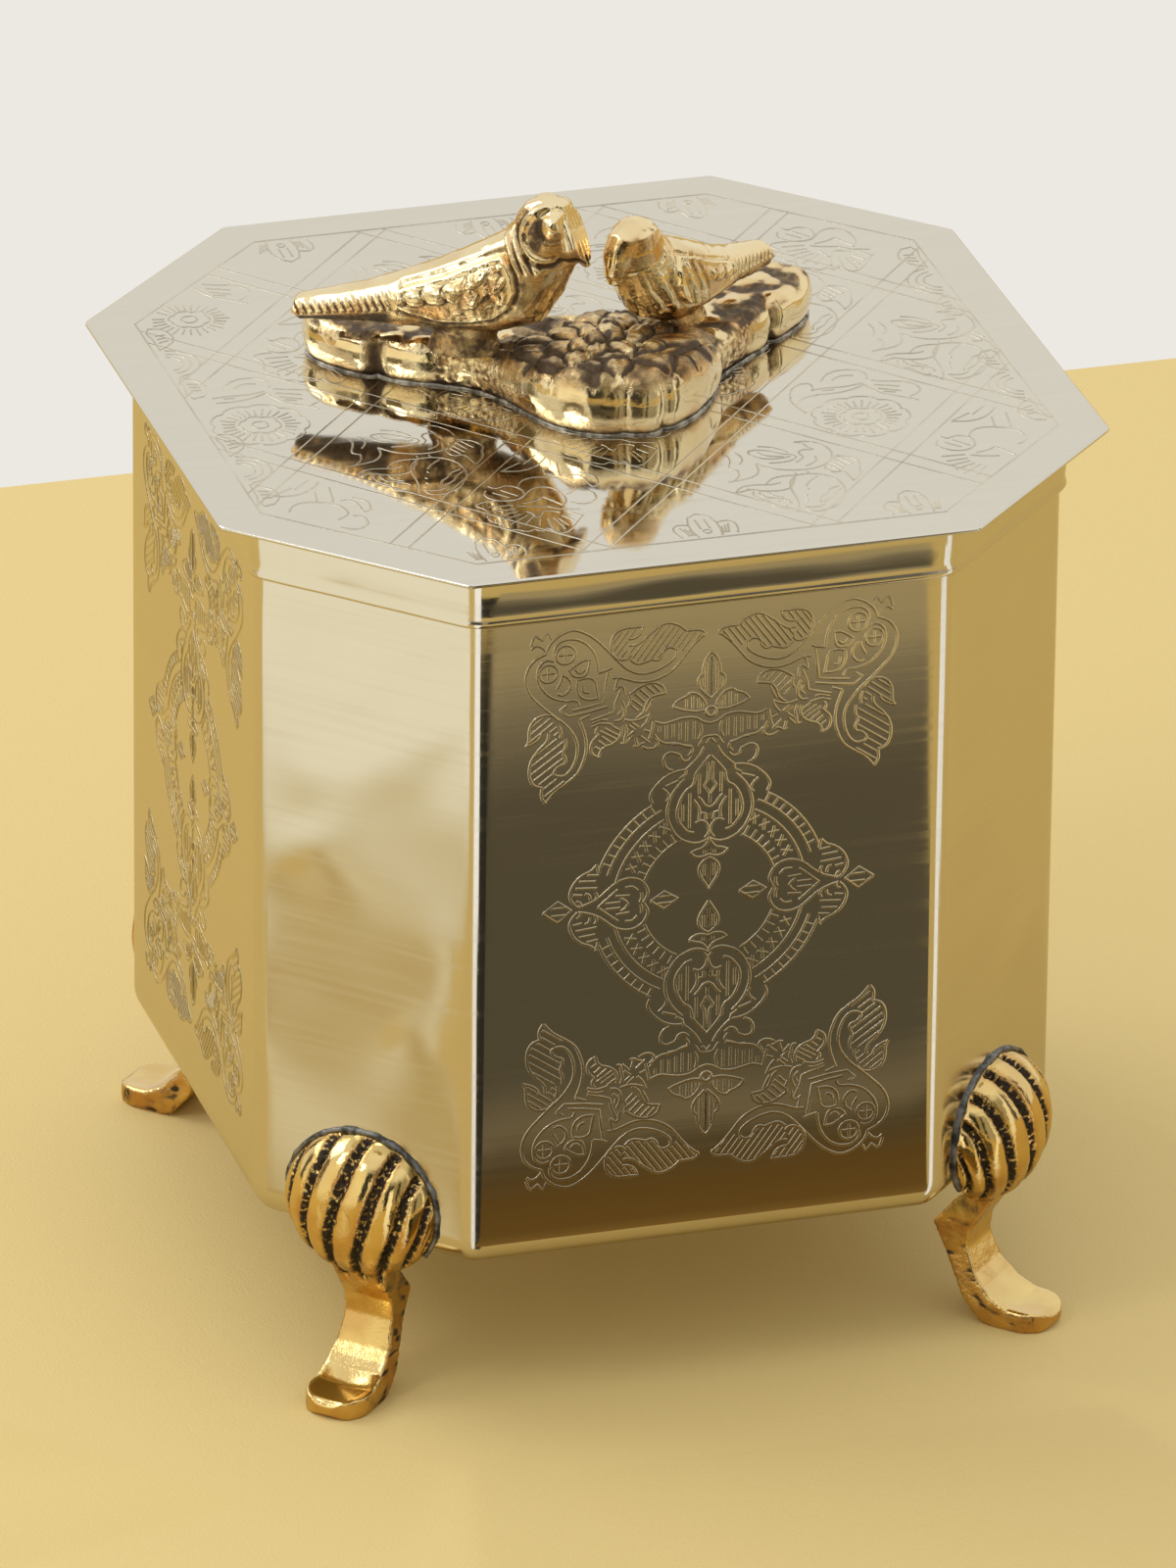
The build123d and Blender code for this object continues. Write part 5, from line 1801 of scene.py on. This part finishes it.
# %% [markdown]
# ## The ornament of the lid
#
# Bands of two fine lines cross the lid in a lattice, and each of its diamonds holds a plant:
# an open fruit, a flower cut like a fan, or a round blossom. They are strokes again, measured
# from the middle of their diamond in tenths of a millimetre. An instance could stand in each
# diamond, but a plant stops at the border, so its strokes are placed one by one and those
# that would cross the border are left out. The same tree cuts them, with a finer tool than
# on the body.

# %% Strokes of the fruit
FRUIT_STROKES = """
l 15 -22  15 -35   l 39 -22  41 -37
s 15 -35  -3 -56  -13 -84  -16 -115  -17 -147  -24 -183  -34 -201
s 15 -35  39 -35  65 -48  83 -74  88 -105  83 -136  70 -162
s -13 -181  -11 -199  7 -209  31 -201  52 -188  70 -162
s -13 -181  2 -188  26 -182  33 -165
s 23 -168  31 -147  44 -136  57 -115  78 -105
s 31 -168  52 -152  65 -131  80 -115
s 18 -87  31 -69  52 -50
s -89 -89  -94 -105  -86 -126  -73 -141  -71 -162  -58 -175  -39 -186
s -78 -92  -80 -105  -73 -121  -63 -126  -47 -136  -34 -149  -34 -158
s -63 -95  -59 -115  -41 -131
s -123 -83  -102 -61  -68 -61  -47 -66  -26 -61
s -110 -82  -89 -79  -73 -89  -42 -97  -19 -92  0 -63  10 -42
s -55 -61  -37 -40  -11 -33  15 -37
s -123 -83  -110 -84  -93 -74
s -47 36  -26 10  0 -6  36 -14  67 -9  93 10  106 30  112 62  101 93  78 114  54 116
s 54 116  70 103  73 88  80 73
s 80 73  62 77  49 67  52 46  44 33  31 23
s 75 41  73 25  60 10  44 2
s -45 96  -45 77  -26 56  10 49  28 54
s -45 96  -29 99  -6 88  15 69  33 59  39 46
s -29 88  -22 73  -5 62  15 55
s -21 33  5 30  31 38  39 49
s -21 114  0 106  15 93  28 72
s -47 33  -52 -1  -73 -24  -110 -32  -125 -35
s -110 -31  -94 -11  -89 14
s -89 14  -102 23  -94 51  -89 72  -92 98
s -73 98  -65 77  -68 56  -78 41
s 114 33  135 23  148 4  151 -11  143 -32  140 -50  127 -74  114 -87
s 114 -87  112 -63  104 -40  88 -40  78 -27  80 -11  93 10  112 30
l 106 20  119 -16   l 117 24  133 -11   l 96 7  110 -27   l 88 -6  101 -35   l 14 -99  17 -105
l 3 -126  6 -132   l -2 -149  1 -155   l -80 -104  -77 -110   l -56 -139  -54 -145
l -49 -164  -47 -171
"""

# %% Strokes of the fan flower
FAN_STROKES = """
s -125 -1  -154 -1  -167 -14  -156 -32  -154 -53  -161 -69  -156 -95  -141 -105  -143 -131
  -120 -141  -104 -154  -89 -147  -76 -160  -65 -147  -57 -162  -42 -178  -21 -165  0 -136
  22 -105
l -146 -24  -99 -27   l -143 -48  -99 -45   l -143 -70  -98 -58   l -138 -90  -93 -71
l -128 -113  -83 -79   l -104 -123  -76 -89   l -76 -136  -65 -100   l -55 -160  -51 -105
l -31 -162  -39 -105   l -20 -147  -30 -110   l -4 -127  -20 -100   l 16 -110  -3 -84
s -76 -24  -52 -19  -31 -6
l -31 -6  -18 -28  -5 -53
s -89 -32  -68 -42  -36 -50
l -36 -50  -16 -69  22 -80
s -81 -63  -73 -75  -68 -95  -57 -82  -47 -69  -20 -84
s -65 54  -52 77  -26 88  0 82  26 67  42 36  39 10  16 -6
s -109 -3  -78 -3  -62 15  -42 36  -21 41  0 25  8 -1  8 -32  -5 -58
s -120 69  -109 56  -89 64  -68 51  -62 25  -78 -1  -104 -6  -130 10  -138 30  -131 51
l -120 38  -95 9   l -102 46  -77 12
s 11 -42  36 -58  60 -48  69 -22  62 -1  49 5
s -76 132  -57 145  -31 161
s -76 132  -42 124  -5 137  26 174
l -26 153  9 188   l 6 132  -1 90   l 39 145  29 80
s 44 80  62 77  73 46  77 15  93 46  89 67  68 88
"""

# %% Leaves above the blossom
BLOSSOM_LEAVES = """
s -118 54  -108 85  -92 106  -68 114  -60 101  -67 77
s -68 80  -40 83  2 80  39 88
s -66 57  -35 54  7 62  39 80
l -48 73  -24 71
s 39 85  49 54  64 28  90 7  122 -20
s 59 96  85 85  116 75  140 46  137 23  111 1
l 59 75  106 54   l 61 55  102 33   l 67 39  90 29
s -121 49  -119 12  -110 -22
s -61 54  -92 48  -115 23
s -37 116  -14 148  28 158  59 132  54 106
s -14 116  7 132  33 127
"""


# %% Blossom, bud and half rosette
BLOSSOM_EYE = (-1.1, -6.6)
PETAL_KNOTS = 6


def blossom():
    """A round blossom: an eye, a ring of petals, and nine lobes with three rays each."""
    x, y = BLOSSOM_EYE
    strokes = read_strokes(BLOSSOM_LEAVES) + [round_stroke(x, y, 1.6)]
    for radius, lobes, swell in ((3.6, 6, 0.5), (8.9, 9, 0.8)):
        knots = []
        for i in range(lobes * PETAL_KNOTS + 1):
            a = math.tau * i / (lobes * PETAL_KNOTS) + 0.2
            r = radius + swell * abs(math.sin(lobes * a / 2 - lobes * 0.1)) ** 0.6
            knots.append(((x + r * math.cos(a)) * MM, (y + r * math.sin(a)) * MM))
        strokes.append((True, knots))
    rays = 27
    for i in range(rays):
        a = math.tau * (i + 0.5) / rays + 0.2
        far = 8.0 if i % 3 == 1 else 7.4
        places = [(x + r * math.cos(a), y + r * math.sin(a)) for r in (4.9, far)]
        strokes.append(cut(*places))
    return strokes


def bud():
    """Three lobes that grow inwards from the border."""
    strokes = [read_strokes("s -24 0 -28 60 0 106 28 60 24 0")[0], round_stroke(0, 2.2, 0.8)]
    for side in (-1, 1):
        strokes.append(cut((side * 0.9, 3.6), (side * 0.9, 8.0)))
        lobe = ((2.7, 5.6), (5.0, 6.2), (6.3, 3.8), (5.6, 0.4))
        strokes.append((True, [(side * px * MM, py * MM) for px, py in lobe]))
        for i in range(3):
            tip = (side * (4.9 - 0.8 * i), 4.9 - 0.6 * i)
            strokes.append(cut(tip, (side * (4.0 - 0.5 * i), 1.0)))
    return strokes


def half_rosette():
    """Two arcs and a leaf on either side, against the border."""
    strokes = [round_stroke(0, 0, radius, 12, 168, 8) for radius in (6.6, 4.9, 3.4)]
    for side in (-1, 1):
        leaf = ((7.0, 0.6), (10.2, 4.0), (14.6, 4.4), (17.6, 0.8), (12.5, 0.5), (7.0, 0.6))
        strokes.append((True, [(side * px * MM, py * MM) for px, py in leaf]))
        for i in range(3):
            strokes.append(cut((side * (10.4 + 1.7 * i), 1.3), (side * (11.2 + 1.4 * i), 3.4)))
    return strokes


# %% The lattice
LATTICE_SLOPE = math.radians(49.3)
LATTICE_STEP = 34.7
LATTICE_GAP = 4.0
BORDER = -0.9  # from the body's outline to the border line


def border_corners():
    wide = HALF_BODY + BORDER
    cut_back = CORNER_CUT + BORDER * (2 - math.sqrt(2))
    corners = [Vector((wide, wide - cut_back)), Vector((wide - cut_back, wide))]
    return [Matrix.Rotation(math.radians(90 * k), 2) @ v for k in range(4) for v in corners]


def inside_border(point, slack=0.0):
    x, y = abs(point[0]), abs(point[1])
    limit = HALF_BODY + BORDER + slack
    return max(x, y) < limit and (x + y) / math.sqrt(2) < CORNER_FACE + BORDER + slack


def clipped(start, end):
    """The part of a straight line that lies inside the border."""
    low, high = 0.0, 1.0
    for k in range(8):
        out = Vector((math.cos(math.pi * k / 4), math.sin(math.pi * k / 4)))
        reach = (CORNER_FACE if k % 2 else HALF_BODY) + BORDER
        one, two = start.dot(out) - reach, end.dot(out) - reach
        if one > 0 and two > 0:
            return None
        if one > 0:
            low = max(low, one / (one - two))
        if two > 0:
            high = min(high, one / (one - two))
    return (start.lerp(end, low), start.lerp(end, high)) if high - low > 0.01 else None


def lattice_strokes():
    strokes = []
    for mirror in (1, -1):
        along = Vector((math.cos(LATTICE_SLOPE), mirror * math.sin(LATTICE_SLOPE)))
        across = Vector((-along.y, along.x))
        for k in range(-3, 4):
            for side in (-0.5, 0.5):
                level = across * (k * LATTICE_STEP + side * LATTICE_GAP)
                ends = clipped(level - along * 160, level + along * 160)
                if ends:
                    strokes.append(cut(*ends))
    corners = border_corners()
    strokes += [cut(a, b) for a, b in zip(corners, corners[1:] + corners[:1])]
    return strokes


# %% Fill the diamonds
FRUIT_CELLS = {(1, -2), (3, 0), (-2, -1), (0, 1), (-1, 2), (2, 1)}
FAN_CELLS = {(3, -2), (-1, -2), (-3, -2), (0, -1), (-2, 1), (3, 2)}


def placed(strokes, x, y, turn=0.0):
    """A motif at (x, y) mm; what falls outside the border is left out."""
    spin = Matrix.Rotation(math.radians(turn), 2)
    kept = []
    for smooth, points in strokes:
        moved = [spin @ Vector(p) + Vector((x * MM, y * MM)) for p in points]
        if all(inside_border(p / MM, -0.6) for p in moved):
            kept.append((smooth, [tuple(p) for p in moved]))
    return kept


def lid_strokes():
    strokes = lattice_strokes()
    wide = LATTICE_STEP / (2 * math.sin(LATTICE_SLOPE))
    tall = LATTICE_STEP / (2 * math.cos(LATTICE_SLOPE))
    for m in range(-3, 4):
        for n in range(-2, 3):
            if (m + n) % 2 == 0:
                continue
            if (m, n) in FRUIT_CELLS:
                motif = read_strokes(FRUIT_STROKES)
            elif (m, n) in FAN_CELLS:
                motif = read_strokes(FAN_STROKES)
            else:
                motif = blossom()
            strokes += placed(motif, m * wide, n * tall)
    edge = HALF_BODY + BORDER - 0.9
    for x in (-42.5, 0.0, 42.5):
        strokes += placed(bud(), x, -edge) + placed(bud(), x, edge, 180)
    for y in (-26.5, 26.5):
        strokes += placed(half_rosette(), -edge, y, -90) + placed(half_rosette(), edge, y, 90)
    return strokes


# %% Engrave the lid
drawn = strokes_to_curve("drawn_lid", lid_strokes(), 2)
fine_tool = {
    "Half width": 0.26 * MM, "Burr": 0.068 * MM, "Floor": 0.015 * MM, "Root": -0.04 * MM,
    "Finish": lid_groove,
}
lid_ornament = grown("ornament_lid", drawn, chasing_tree("chasing", False), fine_tool)
lid_ornament.data.transform(Matrix.Translation((0, 0, plate_high * MM)))
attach(lid_ornament, "lid")
print("ornament_lid", triangles(lid_ornament), "triangles")
